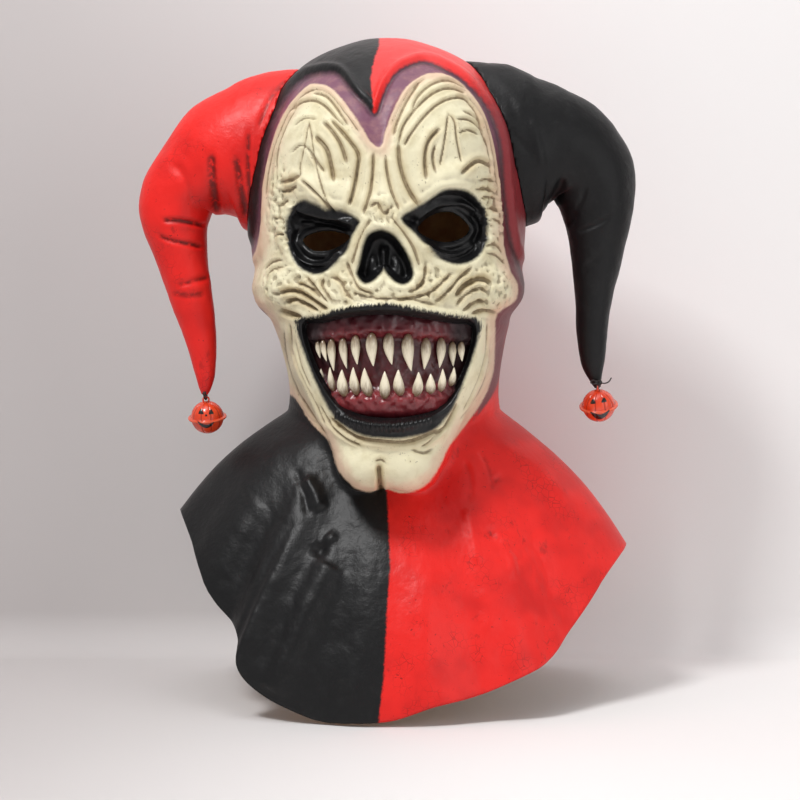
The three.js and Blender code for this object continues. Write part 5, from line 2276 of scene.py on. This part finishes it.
@dataclass
class ThreadTie:
    """The thread that ties a bell to its horn.

    Attributes:
        name: the piece's name.
        hole: where it goes through the horn.
        hang: the middle of the bell's eyelet.
        strands: paths of its thread, from the hole, in millimetres.
        radius: radius of the thread.
    """

    name: str
    hole: tuple[float, float, float]
    hang: tuple[float, float, float]
    strands: tuple[tuple[tuple[float, float, float], ...], ...]
    radius: float = 0.42

    def loops(self) -> list[np.ndarray]:
        """Lay out the loop through horn and eyelet, wound twice.

        Returns:
            The paths.
        """
        top, bottom = np.array(self.hole), np.array(self.hang)
        paths = []
        for shift, reach in ((-0.7, 3.4), (0.7, 3.9)):
            angle = np.linspace(0.0, math.tau, 49)
            middle = (top + bottom) / 2.0
            up = (top - middle)[None] * np.cos(angle)[:, None]
            out = np.array([0.0, 1.0, 0.0])[None] * (reach * np.sin(angle))[:, None]
            sideways = np.array([1.0, 0.0, 0.0])[None] * (shift * np.abs(np.sin(angle)))[:, None]
            paths.append(middle + up + out + sideways)
        return paths

    def build(self) -> bpy.types.Object:
        """Make the tie.

        Returns:
            The object.
        """
        paths = self.loops()
        for strand in self.strands:
            points = np.array(strand) + np.array(self.hole)
            paths.append(open_curve(points, np.linspace(0.0, len(points) - 1.0, 12 * len(points))))
        work = bmesh.new()
        for path in paths:
            points, faces = tube(path, self.radius)
            work.from_mesh(mesh_from("strand", points, faces))
        mesh = bpy.data.meshes.new(self.name)
        work.to_mesh(mesh)
        work.free()
        mesh.shade_smooth()
        return link(mesh, self.name)


# Materials


@dataclass(frozen=True)
class Hue:
    """A colour as it looks on a screen.

    Attributes:
        red: from 0 to 255.
        green: from 0 to 255.
        blue: from 0 to 255.
    """

    red: float
    green: float
    blue: float

    def linear(self) -> tuple[float, float, float, float]:
        """Give the colour for a shader.

        Returns:
            Its linear channels and full cover.
        """
        shares = [channel / 255.0 for channel in (self.red, self.green, self.blue)]
        red, green, blue = [v / 12.92 if v <= 0.04045 else ((v + 0.055) / 1.055) ** 2.4 for v in shares]
        return red, green, blue, 1.0


class Sock:
    """A shader's output that can be calculated with."""

    def __init__(self, graph: "Graph", socket: bpy.types.NodeSocket) -> None:
        """Wrap an output.

        Args:
            graph: the shader it is in.
            socket: the output.
        """
        self.graph = graph
        self.socket = socket

    def _math(self, operation: str, other: "Sock | float", swapped: bool = False) -> "Sock":
        """Calculate with another value.

        Args:
            operation: the sum's kind.
            other: the other value.
            swapped: whether the other value comes first.

        Returns:
            The result.
        """
        pair = (other, self) if swapped else (self, other)
        return self.graph.node("ShaderNodeMath", {"operation": operation}, {0: pair[0], 1: pair[1]})

    def __add__(self, other: "Sock | float") -> "Sock":
        """Add.

        Args:
            other: what is added.

        Returns:
            The sum.
        """
        return self._math("ADD", other)

    def __mul__(self, other: "Sock | float") -> "Sock":
        """Multiply.

        Args:
            other: the factor.

        Returns:
            The product.
        """
        return self._math("MULTIPLY", other)

    def __sub__(self, other: "Sock | float") -> "Sock":
        """Subtract.

        Args:
            other: what is taken away.

        Returns:
            The difference.
        """
        return self._math("SUBTRACT", other)

    def __rsub__(self, other: float) -> "Sock":
        """Subtract from a number.

        Args:
            other: the number.

        Returns:
            The difference.
        """
        return self._math("SUBTRACT", other, swapped=True)

    def __neg__(self) -> "Sock":
        """Change the sign.

        Returns:
            The value with the other sign.
        """
        return self._math("MULTIPLY", -1.0)

    __radd__ = __add__
    __rmul__ = __mul__

    def most(self, other: "Sock | float") -> "Sock":
        """Take the greater of two values.

        Args:
            other: the other value.

        Returns:
            The greater one.
        """
        return self._math("MAXIMUM", other)

    def least(self, other: "Sock | float") -> "Sock":
        """Take the lesser of two values.

        Args:
            other: the other value.

        Returns:
            The lesser one.
        """
        return self._math("MINIMUM", other)

    def step(self, low: float, high: float) -> "Sock":
        """Ease from 0 to 1 between two values.

        Args:
            low: where it is 0.
            high: where it is 1.

        Returns:
            The share.
        """
        settings = {"interpolation_type": "SMOOTHSTEP"}
        inputs = {"Value": self, "From Min": low, "From Max": high}
        return self.graph.node("ShaderNodeMapRange", settings, inputs)


class Graph:
    """One procedural material."""

    def __init__(self, name: str) -> None:
        """Start a material.

        Args:
            name: its name.
        """
        self.material = bpy.data.materials.new(name)
        self.material.use_nodes = True
        self.tree = self.material.node_tree
        self.tree.nodes.clear()
        self.place = self.node("ShaderNodeTexCoord", output="Object")

    def node(
        self,
        kind: str,
        settings: dict[str, object] | None = None,
        inputs: dict[str | int, object] | None = None,
        output: str | int = 0,
    ) -> Sock:
        """Add a node.

        Args:
            kind: the node's type.
            settings: its own settings.
            inputs: values or outputs for its inputs.
            output: which of its outputs is wanted.

        Returns:
            That output.
        """
        made = self.tree.nodes.new(kind)
        for name, value in (settings or {}).items():
            setattr(made, name, value)
        for name, value in (inputs or {}).items():
            if isinstance(value, Sock):
                self.tree.links.new(value.socket, made.inputs[name])
            else:
                made.inputs[name].default_value = value.linear() if isinstance(value, Hue) else value
        return Sock(self, made.outputs[output])

    def stored(self, name: str) -> Sock:
        """Read a number that is stored on the mesh.

        Args:
            name: its name.

        Returns:
            The number.
        """
        return self.node("ShaderNodeAttribute", {"attribute_name": name}, output="Fac")

    def stretched(self, stretch: tuple[float, float, float]) -> Sock:
        """Stretch the coordinates.

        Args:
            stretch: factors along X, Y and Z.

        Returns:
            The coordinates.
        """
        return self.node("ShaderNodeMapping", {}, {"Vector": self.place, "Scale": stretch})

    def noise(self, size: float, detail: float = 3.0, rough: float = 0.55, at: Sock | None = None) -> Sock:
        """Make smooth noise.

        Args:
            size: size of its lumps in millimetres.
            detail: how many finer layers it has.
            rough: how strong they are.
            at: the coordinates, if stretched.

        Returns:
            Values near 0.5.
        """
        inputs = {"Vector": at or self.place, "Scale": 1.0 / (size * MM)}
        inputs |= {"Detail": detail, "Roughness": rough}
        return self.node("ShaderNodeTexNoise", {}, inputs)

    def mix(self, share: Sock | float, first: Sock | Hue, second: Sock | Hue) -> Sock:
        """Mix two colours.

        Args:
            share: how much of the second.
            first: the colour at 0.
            second: the colour at 1.

        Returns:
            The mixed colour.
        """
        return self.node("ShaderNodeMix", {"data_type": "RGBA"}, {0: share, 6: first, 7: second}, output=2)

    def between(self, share: Sock, first: float, second: float) -> Sock:
        """Go from one number to another.

        Args:
            share: how far.
            first: the number at 0.
            second: the number at 1.

        Returns:
            The number.
        """
        return share * (second - first) + first

    def finish(
        self,
        colour: Sock | Hue,
        roughness: Sock | float,
        bumps: Sequence[tuple[Sock, float]] = (),
        **fixed: Sock | float,
    ) -> bpy.types.Material:
        """Close the material.

        Args:
            colour: its colour.
            roughness: its roughness.
            bumps: heights from 0 to 1, and how many millimetres 1 is.
            fixed: other inputs of the surface, with _ for each space.

        Returns:
            The material.
        """
        inputs: dict[str | int, object] = {"Base Color": colour, "Roughness": roughness}
        normal: Sock | None = None
        for height, size in bumps:
            bump: dict[str | int, object] = {"Height": height, "Distance": size * MM, "Strength": 1.0}
            if normal is not None:
                bump["Normal"] = normal
            normal = self.node("ShaderNodeBump", {}, bump)
        if normal is not None:
            inputs["Normal"] = normal
        inputs.update({name.replace("_", " "): value for name, value in fixed.items()})
        surface = self.node("ShaderNodeBsdfPrincipled", {}, inputs)
        closing = self.tree.nodes.new("ShaderNodeOutputMaterial")
        self.tree.links.new(surface.socket, closing.inputs["Surface"])
        return self.material


@dataclass(frozen=True)
class PaintBox:
    """The mask's paints.

    Attributes:
        cream: the face's pale skin.
        cream_shade: the skin where it is patchy.
        glaze_and_shade: the thin brown glaze round folds, partly painted shade on their shoulders.
        wash: the dark wash in grooves, also the painted shade in hollows.
        blush: the skin's pink border.
        black: the black half.
        black_dust: the black half where it is dusty.
        red: the red half.
        red_shade: the red half where it is dark.
        red_painted_highlight: a paler red painted at the crown as a highlight.
        soot: the dark in the red half's creases.
        mauve: the dull purple between paints.
        maroon: the dark red beside the face.
        raw: bare latex inside.
        wine: the gums.
        wine_light: the gums' lighter places.
        ivory: the teeth.
        root: the teeth's roots.
        orange: the bells.
    """

    cream: Hue = Hue(236, 229, 196)
    cream_shade: Hue = Hue(214, 204, 166)
    glaze_and_shade: Hue = Hue(188, 164, 120)
    wash: Hue = Hue(98, 72, 44)
    blush: Hue = Hue(214, 168, 146)
    black: Hue = Hue(17, 17, 18)
    black_dust: Hue = Hue(38, 39, 39)
    red: Hue = Hue(236, 36, 30)
    red_shade: Hue = Hue(190, 18, 18)
    red_painted_highlight: Hue = Hue(232, 74, 74)
    soot: Hue = Hue(84, 16, 14)
    mauve: Hue = Hue(122, 78, 98)
    maroon: Hue = Hue(112, 48, 54)
    raw: Hue = Hue(196, 160, 112)
    wine: Hue = Hue(104, 30, 38)
    wine_light: Hue = Hue(150, 50, 54)
    ivory: Hue = Hue(240, 230, 204)
    root: Hue = Hue(106, 74, 40)
    orange: Hue = Hue(232, 70, 30)

    def red_latex(self, graph: Graph, wash: Sock) -> Sock:
        """Paint latex red with dry-brushed smudges.

        Args:
            graph: the material.
            wash: how much dark wash the folds hold.

        Returns:
            The colour.
        """
        broad = graph.noise(34.0, 2.0)
        colour = graph.mix(broad.step(0.42, 0.7) * 0.55, self.red, self.red_shade)
        smudge = graph.noise(7.0, 6.0, 0.72, graph.stretched((1.0, 1.0, 0.45)))
        patch = graph.noise(30.0, 1.0)
        dry = smudge.step(0.56, 0.68) * patch.step(0.46, 0.62)
        colour = graph.mix(dry * 0.36, colour, self.soot)
        speck = graph.noise(1.7, 1.0).step(0.7, 0.76) * graph.noise(12.0, 1.0).step(0.45, 0.6)
        colour = graph.mix(speck * 0.6, colour, self.soot)
        cells = {"Vector": graph.place, "Scale": 1.0 / (4.2 * MM)}
        edge = graph.node("ShaderNodeTexVoronoi", {"feature": "DISTANCE_TO_EDGE"}, cells, output="Distance")
        crack = (edge + (smudge - 0.5) * 0.12).step(0.05, 0.0) * graph.noise(24.0, 2.0).step(0.5, 0.66)
        colour = graph.mix(crack * 0.4, colour, self.soot)
        stain = (wash * graph.noise(4.0, 3.0).step(0.2, 0.55)).step(0.1, 0.9)
        return graph.mix(stain * 0.85, colour, self.soot)

    def black_latex(self, graph: Graph) -> Sock:
        """Paint latex black.

        Args:
            graph: the material.

        Returns:
            The colour.
        """
        dust = graph.noise(11.0, 6.0, 0.65).step(0.5, 0.8)
        return graph.mix(dust * 0.45, self.black, self.black_dust)

    def shell(self) -> bpy.types.Material:
        """Paint the casting's outside.

        Returns:
            The material.
        """
        graph = Graph("painted_latex")
        skin_edge, hood_edge = graph.stored("skin_edge"), graph.stored("hood_edge")
        dark_edge, side = graph.stored("dark_edge"), graph.stored("seam_side")
        up, wash, cavity = graph.stored("board_up"), graph.stored("wash"), graph.stored("cavity")
        ragged = graph.noise(2.4, 4.0, 0.7) - 0.5
        hairs = graph.noise(1.3, 2.0, 0.6, graph.stretched((1.0, 1.0, 0.22))) - 0.5
        red_side = (side + ragged * 3.0).step(-0.9, 0.9)
        red = self.red_latex(graph, wash)
        # painted highlight: the red turns paler towards the crown, where the light falls on it
        crown = (up + ragged * 14.0).step(-40.0, -6.0)
        red = graph.mix(crown * 0.6, red, self.red_painted_highlight)
        beside = (up + ragged * 18.0).step(-14.0, -46.0) * side.step(30.0, 52.0) * up.step(-226.0, -196.0)
        red = graph.mix(beside * 0.85, red, self.maroon)
        hood = graph.mix(red_side, self.black_latex(graph), red)
        band = self.band(graph, hood_edge, side, up, ragged)
        end = graph.between(side.step(-10.0, 10.0), -203.0, -228.0)
        past_band = (end - up + ragged * 14.0).step(-5.0, 5.0)
        colour = graph.mix((hood_edge + ragged * 1.6).step(-0.9, 0.5).most(past_band), band, hood)
        skin = self.skin(graph, skin_edge, wash, cavity)
        on_skin = (skin_edge + ragged * 1.8).step(-0.8, 0.8)
        colour = graph.mix(on_skin, colour, skin)
        fringed = up.step(-152.0, -158.0) * up.step(-184.0, -176.0)
        on_dark = (dark_edge + ragged * 1.3 + hairs * fringed * 6.0).step(-1.7, 0.9)
        colour = graph.mix(on_dark, colour, self.black)
        roughness = graph.between(on_dark, 0.5, 0.34) - (1.0 - on_skin) * 0.08
        pores = graph.noise(0.9, 3.0, 0.6)
        lumps = graph.noise(3.2, 2.0, 0.5)
        return graph.finish(colour, roughness, ((lumps, 0.25), (pores, 0.09)), Specular_IOR_Level=0.34)

    def skin(self, graph: Graph, edge: Sock, wash: Sock, cavity: Sock) -> Sock:
        """Paint the skull's skin.

        Args:
            graph: the material.
            edge: how far inside the skin's outline.
            wash: how much wash the folds hold.
            cavity: how deep a point lies under its surroundings, painted as shade.

        Returns:
            The colour.
        """
        shade = graph.noise(13.0, 4.0, 0.6)
        colour = graph.mix(shade.step(0.44, 0.7) * 0.7, self.cream, self.cream_shade)
        border = (edge + (graph.noise(9.0, 2.0) - 0.5) * 8.0).step(9.0, 0.5)
        colour = graph.mix(border * 0.6, colour, self.blush)
        # brown glaze with painted shade on the shoulders round the folds
        colour = graph.mix(graph.stored("glaze_and_shade") * 0.6, colour, self.glaze_and_shade)
        uneven_wash = graph.noise(3.0, 4.0, 0.65).step(0.25, 0.62)
        # dark wash in the grooves, and painted shade in every hollow of the relief
        stain = (wash * wash * 0.8 + cavity.step(0.05, 0.75) * 0.8).least(1.0)
        stain = stain * graph.between(uneven_wash, 0.6, 1.0)
        colour = graph.mix(stain * 0.68, colour, self.wash)
        pits = graph.noise(1.5, 1.0, 0.4).step(0.68, 0.74) * graph.noise(16.0, 1.0).step(0.45, 0.6)
        return graph.mix(pits * 0.5, colour, self.wash)

    def band(self, graph: Graph, hood_edge: Sock, side: Sock, up: Sock, ragged: Sock) -> Sock:
        """Paint the band between hood and skin.

        Args:
            graph: the material.
            hood_edge: how far outside the hood's rim.
            side: how far to the red side of the seam.
            up: how high on the board.
            ragged: noise about 0.

        Returns:
            The colour.
        """
        colour = graph.mix(graph.noise(8.0, 4.0).step(0.4, 0.75) * 0.22, self.mauve, self.blush)
        lower = (up + ragged * 18.0).step(-48.0, -96.0) * side.step(20.0, 40.0)
        colour = graph.mix(lower, colour, self.maroon)
        rim = (hood_edge + ragged * 3.0).step(-4.5, 0.2) * up.step(-172.0, -150.0)
        return graph.mix(rim * 0.7, colour, self.black)

    def raw_latex(self) -> bpy.types.Material:
        """Leave the casting's inside bare.

        Returns:
            The material.
        """
        graph = Graph("raw_latex")
        blotch = graph.noise(18.0, 5.0, 0.6)
        colour = graph.mix(blotch.step(0.35, 0.7), self.raw, Hue(170, 128, 84))
        return graph.finish(colour, 0.55, ((graph.noise(2.5, 3.0), 0.3),))

    def red_horn(self) -> bpy.types.Material:
        """Paint the red horn.

        Returns:
            The material.
        """
        graph = Graph("red_latex")
        colour = self.red_latex(graph, graph.stored("wash"))
        roughness = graph.between(graph.noise(9.0, 3.0), 0.34, 0.52)
        bumps = ((graph.noise(4.0, 3.0), 0.3), (graph.noise(1.0, 2.0), 0.06))
        return graph.finish(colour, roughness, bumps, Specular_IOR_Level=0.34)

    def black_horn(self) -> bpy.types.Material:
        """Paint the black horn.

        Returns:
            The material.
        """
        graph = Graph("black_latex")
        colour = self.black_latex(graph)
        roughness = graph.between(graph.noise(9.0, 3.0), 0.38, 0.56)
        bumps = ((graph.noise(4.0, 3.0), 0.3), (graph.noise(1.0, 2.0), 0.06))
        return graph.finish(colour, roughness, bumps, Specular_IOR_Level=0.28)

    def gum(self) -> bpy.types.Material:
        """Paint the gums, with painted shade towards the mouth's corners, under the lips and between the
        roots.

        Returns:
            The material.
        """
        graph = Graph("gum_latex")
        up, across = graph.stored("board_up"), graph.stored("board_across")
        veins = graph.noise(5.0, 5.0, 0.7)
        colour = graph.mix(veins.step(0.4, 0.75) * 0.6, self.wine, self.wine_light)
        lower = up.step(-196.0, -212.0) * up.step(-229.0, -220.0)
        colour = graph.mix(lower * 0.5, colour, self.wine_light)
        # painted shade: the gums turn near black towards the mouth's corners, behind the lips
        shaded_corners = (across * across).step(29.0**2, 45.0**2)
        colour = graph.mix(shaded_corners * 0.92, colour, Hue(20, 13, 15))
        # painted shade under the lips, along the gums' upper and lower edges
        top = (up + veins * 8.0).step(-174.0, -162.0).most((up - veins * 8.0).step(-229.0, -238.0))
        colour = graph.mix(top * 0.85, colour, Hue(38, 20, 26))
        # painted shade in the crevices between the roots, where the gum lies low
        sunk = graph.stored("rise").step(3.0, 0.3)
        colour = graph.mix(sunk * 0.7, colour, Hue(46, 10, 15))
        roughness = graph.between(shaded_corners, 0.3, 0.62)
        coat = (1.0 - shaded_corners) * 0.3
        return graph.finish(colour, roughness, ((veins, 0.5),), Coat_Weight=coat, Coat_Roughness=0.14)

    def tooth(self) -> bpy.types.Material:
        """Paint the teeth.

        Returns:
            The material.
        """
        graph = Graph("tooth_latex")
        along = graph.stored("tooth_along")
        streak = graph.noise(1.6, 3.0, 0.6, graph.stretched((1.0, 1.0, 0.3)))
        stain = (1.0 - along + (streak - 0.5) * 0.6).step(0.36, 0.96)
        colour = graph.mix(stain * 0.9, self.ivory, self.root)
        return graph.finish(colour, 0.28, ((streak, 0.12),), Coat_Weight=0.4, Coat_Roughness=0.1)

    def bell(self) -> bpy.types.Material:
        """Paint the bells, with painted shade in the grooves of their ribs.

        Returns:
            The material.
        """
        graph = Graph("bell_enamel")
        seam, ink, rim = graph.stored("seam"), graph.stored("ink"), graph.stored("rim")
        colour = graph.mix(graph.noise(6.0, 3.0).step(0.4, 0.7) * 0.5, self.orange, Hue(205, 48, 22))
        # painted shade in the grooves of the ribs
        colour = graph.mix(seam * 0.7, colour, Hue(120, 20, 12))
        colour = graph.mix(rim * 0.3, colour, Hue(196, 110, 70))
        figure = (ink + (graph.noise(0.8, 2.0) - 0.5) * 0.4).step(-0.15, 0.15)
        colour = graph.mix(figure, colour, Hue(18, 14, 12))
        grain = ((graph.noise(1.4, 2.0), 0.05),)
        return graph.finish(colour, 0.26, grain, Coat_Weight=0.5, Coat_Roughness=0.1)

    def thread(self) -> bpy.types.Material:
        """Colour the ties.

        Returns:
            The material.
        """
        graph = Graph("tie_thread")
        twist = graph.noise(0.5, 1.0, 0.5, graph.stretched((1.0, 1.0, 0.4)))
        return graph.finish(graph.mix(twist, Hue(26, 24, 24), Hue(58, 54, 52)), 0.6, ((twist, 0.1),))

    def backdrop(self) -> bpy.types.Material:
        """Colour the studio's paper, with painted shade that darkens it towards the left.

        Returns:
            The material.
        """
        graph = Graph("backdrop")
        across = graph.node("ShaderNodeSeparateXYZ", {}, {0: graph.place}, output="X")
        # painted shade: the paper is darker towards the left
        return graph.finish(graph.mix(across.step(-0.3, 0.12), Hue(196, 191, 190), Hue(243, 241, 240)), 0.9)


# Studio


class Kind(Enum):
    """What a light does."""

    KEY = "key"
    FILL = "fill"
    TOP = "top"


@dataclass(frozen=True)
class SoftLight:
    """A large soft light.

    Attributes:
        kind: what it does.
        at: where it stands, in metres.
        aim: what it points at, in metres.
        size: its breadth in metres.
        power: its power in watts.
    """

    kind: Kind
    at: tuple[float, float, float]
    aim: tuple[float, float, float]
    size: float
    power: float

    def build(self) -> bpy.types.Object:
        """Put the light up.

        Returns:
            The object.
        """
        lamp = bpy.data.lights.new(self.kind.value, "AREA")
        lamp.size = self.size
        lamp.energy = self.power
        item = bpy.data.objects.new(self.kind.value, lamp)
        item.location = self.at
        item.rotation_euler = (Vector(self.aim) - Vector(self.at)).to_track_quat("-Z", "Y").to_euler()
        bpy.context.scene.collection.objects.link(item)
        return item


@dataclass
class Studio:
    """Wall, floor, lights and camera.

    Attributes:
        paints: the mask's paints, which the wall's look is made by.
        wall_behind: from the axis to the wall, in millimetres.
        floor_down: from the crown to the floor.
        cove: radius between floor and wall.
        ambient: brightness of the surroundings.
        sensor: breadth of the camera's sensor in millimetres.
        reach: how far the floor comes forward.
        breadth: half the backdrop's breadth, and the wall's height.
        lights: the soft lights.
    """

    paints: PaintBox
    wall_behind: float = 150.0
    floor_down: float = 419.5
    cove: float = 30.0
    ambient: float = 0.37
    sensor: float = 36.0
    reach: float = 3000.0
    breadth: float = 2600.0
    lights: tuple[SoftLight, ...] = (
        SoftLight(Kind.KEY, (-0.6, -0.85, 1.1), (0.0, -0.05, -0.2), 0.35, 17.0),
        SoftLight(Kind.FILL, (1.2, -1.2, 0.2), (0.1, 0.1, -0.25), 1.0, 4.5),
        SoftLight(Kind.TOP, (0.0, -0.3, 1.1), (0.0, 0.0, -0.2), 0.9, 4.0),
    )

    def backdrop(self) -> bpy.types.Object:
        """Make wall and floor in one sweep.

        Returns:
            The object.
        """
        angle = np.linspace(0.0, math.pi / 2.0, 12)
        middle = np.array([self.wall_behind - self.cove, -self.floor_down + self.cove])
        curve = middle + self.cove * np.stack([np.sin(angle), -np.cos(angle)], axis=1)
        ends = [[-self.reach, -self.floor_down]], [[self.wall_behind, self.breadth]]
        profile = np.concatenate([ends[0], curve, ends[1]])
        sides = (-self.breadth, self.breadth)
        rows = [np.column_stack([np.full(len(profile), side), profile]) for side in sides]
        count = len(profile)
        faces = [(i, count + i, count + i + 1, i + 1) for i in range(count - 1)]
        mesh = mesh_from("backdrop", np.concatenate(rows), faces)
        mesh.materials.append(self.paints.backdrop())
        item = link(mesh, "backdrop")
        return item

    def camera(self) -> bpy.types.Object:
        """Place the camera where the eye is.

        Returns:
            The camera.
        """
        lens = bpy.data.cameras.new("camera")
        lens.sensor_width = self.sensor
        lens.lens = self.sensor * BOARD.eye_distance / BOARD.breadth
        lens.clip_end = 20.0
        item = bpy.data.objects.new("camera", lens)
        right, up, back = BOARD.axes()
        eye = np.array(BOARD.middle) + BOARD.eye_distance * back
        turn = Matrix(np.stack([right, up, back], axis=1).tolist()).to_4x4()
        item.matrix_world = Matrix.Translation(Vector(eye * MM)) @ turn
        bpy.context.scene.collection.objects.link(item)
        bpy.context.scene.camera = item
        return item

    def build(self) -> None:
        """Set the studio up."""
        self.backdrop()
        for light in self.lights:
            light.build()
        world = bpy.data.worlds.new("surroundings")
        world.use_nodes = True
        sky = world.node_tree.nodes["Background"]
        sky.inputs["Color"].default_value = Hue(250, 248, 250).linear()
        sky.inputs["Strength"].default_value = self.ambient
        bpy.context.scene.world = world
        bpy.context.scene.view_settings.view_transform = "Standard"
        self.camera()


# Assembly


GLUE_GAP = 0.3
RED_HORN_BELL = JingleBell("red_horn_bell", (-116.8, -4.0, -228.2), RED_HORN_FACE, 13.0, 3.0, 80.0)
BLACK_HORN_BELL = JingleBell("black_horn_bell", (134.6, -8.6, -220.86), BLACK_HORN_FACE, 20.0, 6.0, 0.0)
RED_HORN_TIE = ThreadTie(
    "red_horn_tie",
    (-117.6, -4.0, -222.2),
    (-116.8, -4.0, -228.2),
    (((-0.8, -4.2, -1.8), (0.6, -4.8, -1.2), (1.0, -4.2, -2.4), (-0.4, -4.8, -2.6), (-0.9, -4.2, -1.4)),),
)
BLACK_HORN_TIE = ThreadTie(
    "black_horn_tie",
    (135.2, -4.0, -216.9),
    (134.6, -8.6, -220.86),
    (
        (
            (-1.6, -4.6, 0.6), (1.4, -5.4, 1.2), (1.8, -4.4, -0.8), (-1.2, -5.4, -0.9), (-1.8, -4.4, 0.9),
            (1.2, -5.0, 0.4),
        ),
        ((-1.0, -5.0, 0.2), (-3.4, -5.6, 1.6), (-5.0, -5.2, 0.2), (-3.2, -5.6, -1.0), (-0.6, -5.0, -0.2)),
        ((0.8, -5.0, 0.2), (3.6, -5.8, -0.4), (6.4, -6.2, 0.6), (8.2, -6.0, 3.2)),
    ),
)


@dataclass
class MaskBuilder:
    """Builds the pieces, sets them on the frame and paints them.

    Attributes:
        paints: the mask's paints.
    """

    paints: PaintBox = field(default_factory=PaintBox)

    def place(self, item: bpy.types.Object, node: str, slot: str, *looks: bpy.types.Material) -> None:
        """Set a piece on the frame and paint it.

        Args:
            item: the piece.
            node: the frame's node that it stands for.
            slot: the name of a frame's slot, not used.
            looks: its materials.
        """
        item.data.materials.clear()
        for look in looks:
            item.data.materials.append(look)
        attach(item, "root")
        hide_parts(node)
        LOG.info("%s has %d faces", item.name, len(item.data.polygons))

    def casting(self, form: CastForm) -> MaskShell:
        """Build the casting.

        Args:
            form: the smooth form.

        Returns:
            The casting's maker.
        """
        maker = MaskShell(form)
        item = maker.build()
        shares = np.zeros(len(item.data.polygons), dtype=np.int32)
        item.data.polygons.foreach_get("material_index", shares)
        self.place(item, "mask_shell", "painted_latex", self.paints.shell(), self.paints.raw_latex())
        item.data.polygons.foreach_set("material_index", shares)
        return maker

    def mouth(self, form: CastForm) -> None:
        """Build gums and teeth.

        Args:
            form: the smooth form.
        """
        insert = GumsAndTeeth(form)
        self.place(insert.build_gums(), "gum_and_teeth", "gum_latex", self.paints.gum())
        ivory = self.paints.tooth()
        self.place(insert.build_teeth(ivory), "gum_and_teeth", "gum_latex", ivory)

    def horns(self, maker: MaskShell) -> None:
        """Build the horns.

        Args:
            maker: the casting's maker, for the seat they stand on.
        """
        red = JesterHorn("red_latex_horn", RED_HORN, RED_HORN_FOLDS, 31)
        black = JesterHorn("black_latex_horn", BLACK_HORN, BLACK_HORN_FOLDS, 41)
        self.place(red.build(maker.seat(GLUE_GAP)), "horn_red", "red_latex", self.paints.red_horn())
        self.place(black.build(maker.seat(GLUE_GAP)), "horn_black", "black_latex", self.paints.black_horn())

    def bells(self) -> None:
        """Build the bells and their ties."""
        enamel, thread = self.paints.bell(), self.paints.thread()
        for bell, tie, horn in (
            (RED_HORN_BELL, RED_HORN_TIE, "red_horn"),
            (BLACK_HORN_BELL, BLACK_HORN_TIE, "black_horn"),
        ):
            self.place(bell.build(), f"bell_{horn}", "bell_enamel", enamel)
            self.place(tie.build(), f"tie_{horn}", "tie_thread", thread)


def main() -> None:
    """Build the dressed mask."""
    logging.basicConfig(level=logging.INFO, format="%(message)s")
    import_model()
    form = CastForm()
    builder = MaskBuilder()
    maker = builder.casting(form)
    builder.mouth(form)
    builder.horns(maker)
    builder.bells()
    Studio(builder.paints).build()


if __name__ == "__main__":
    main()
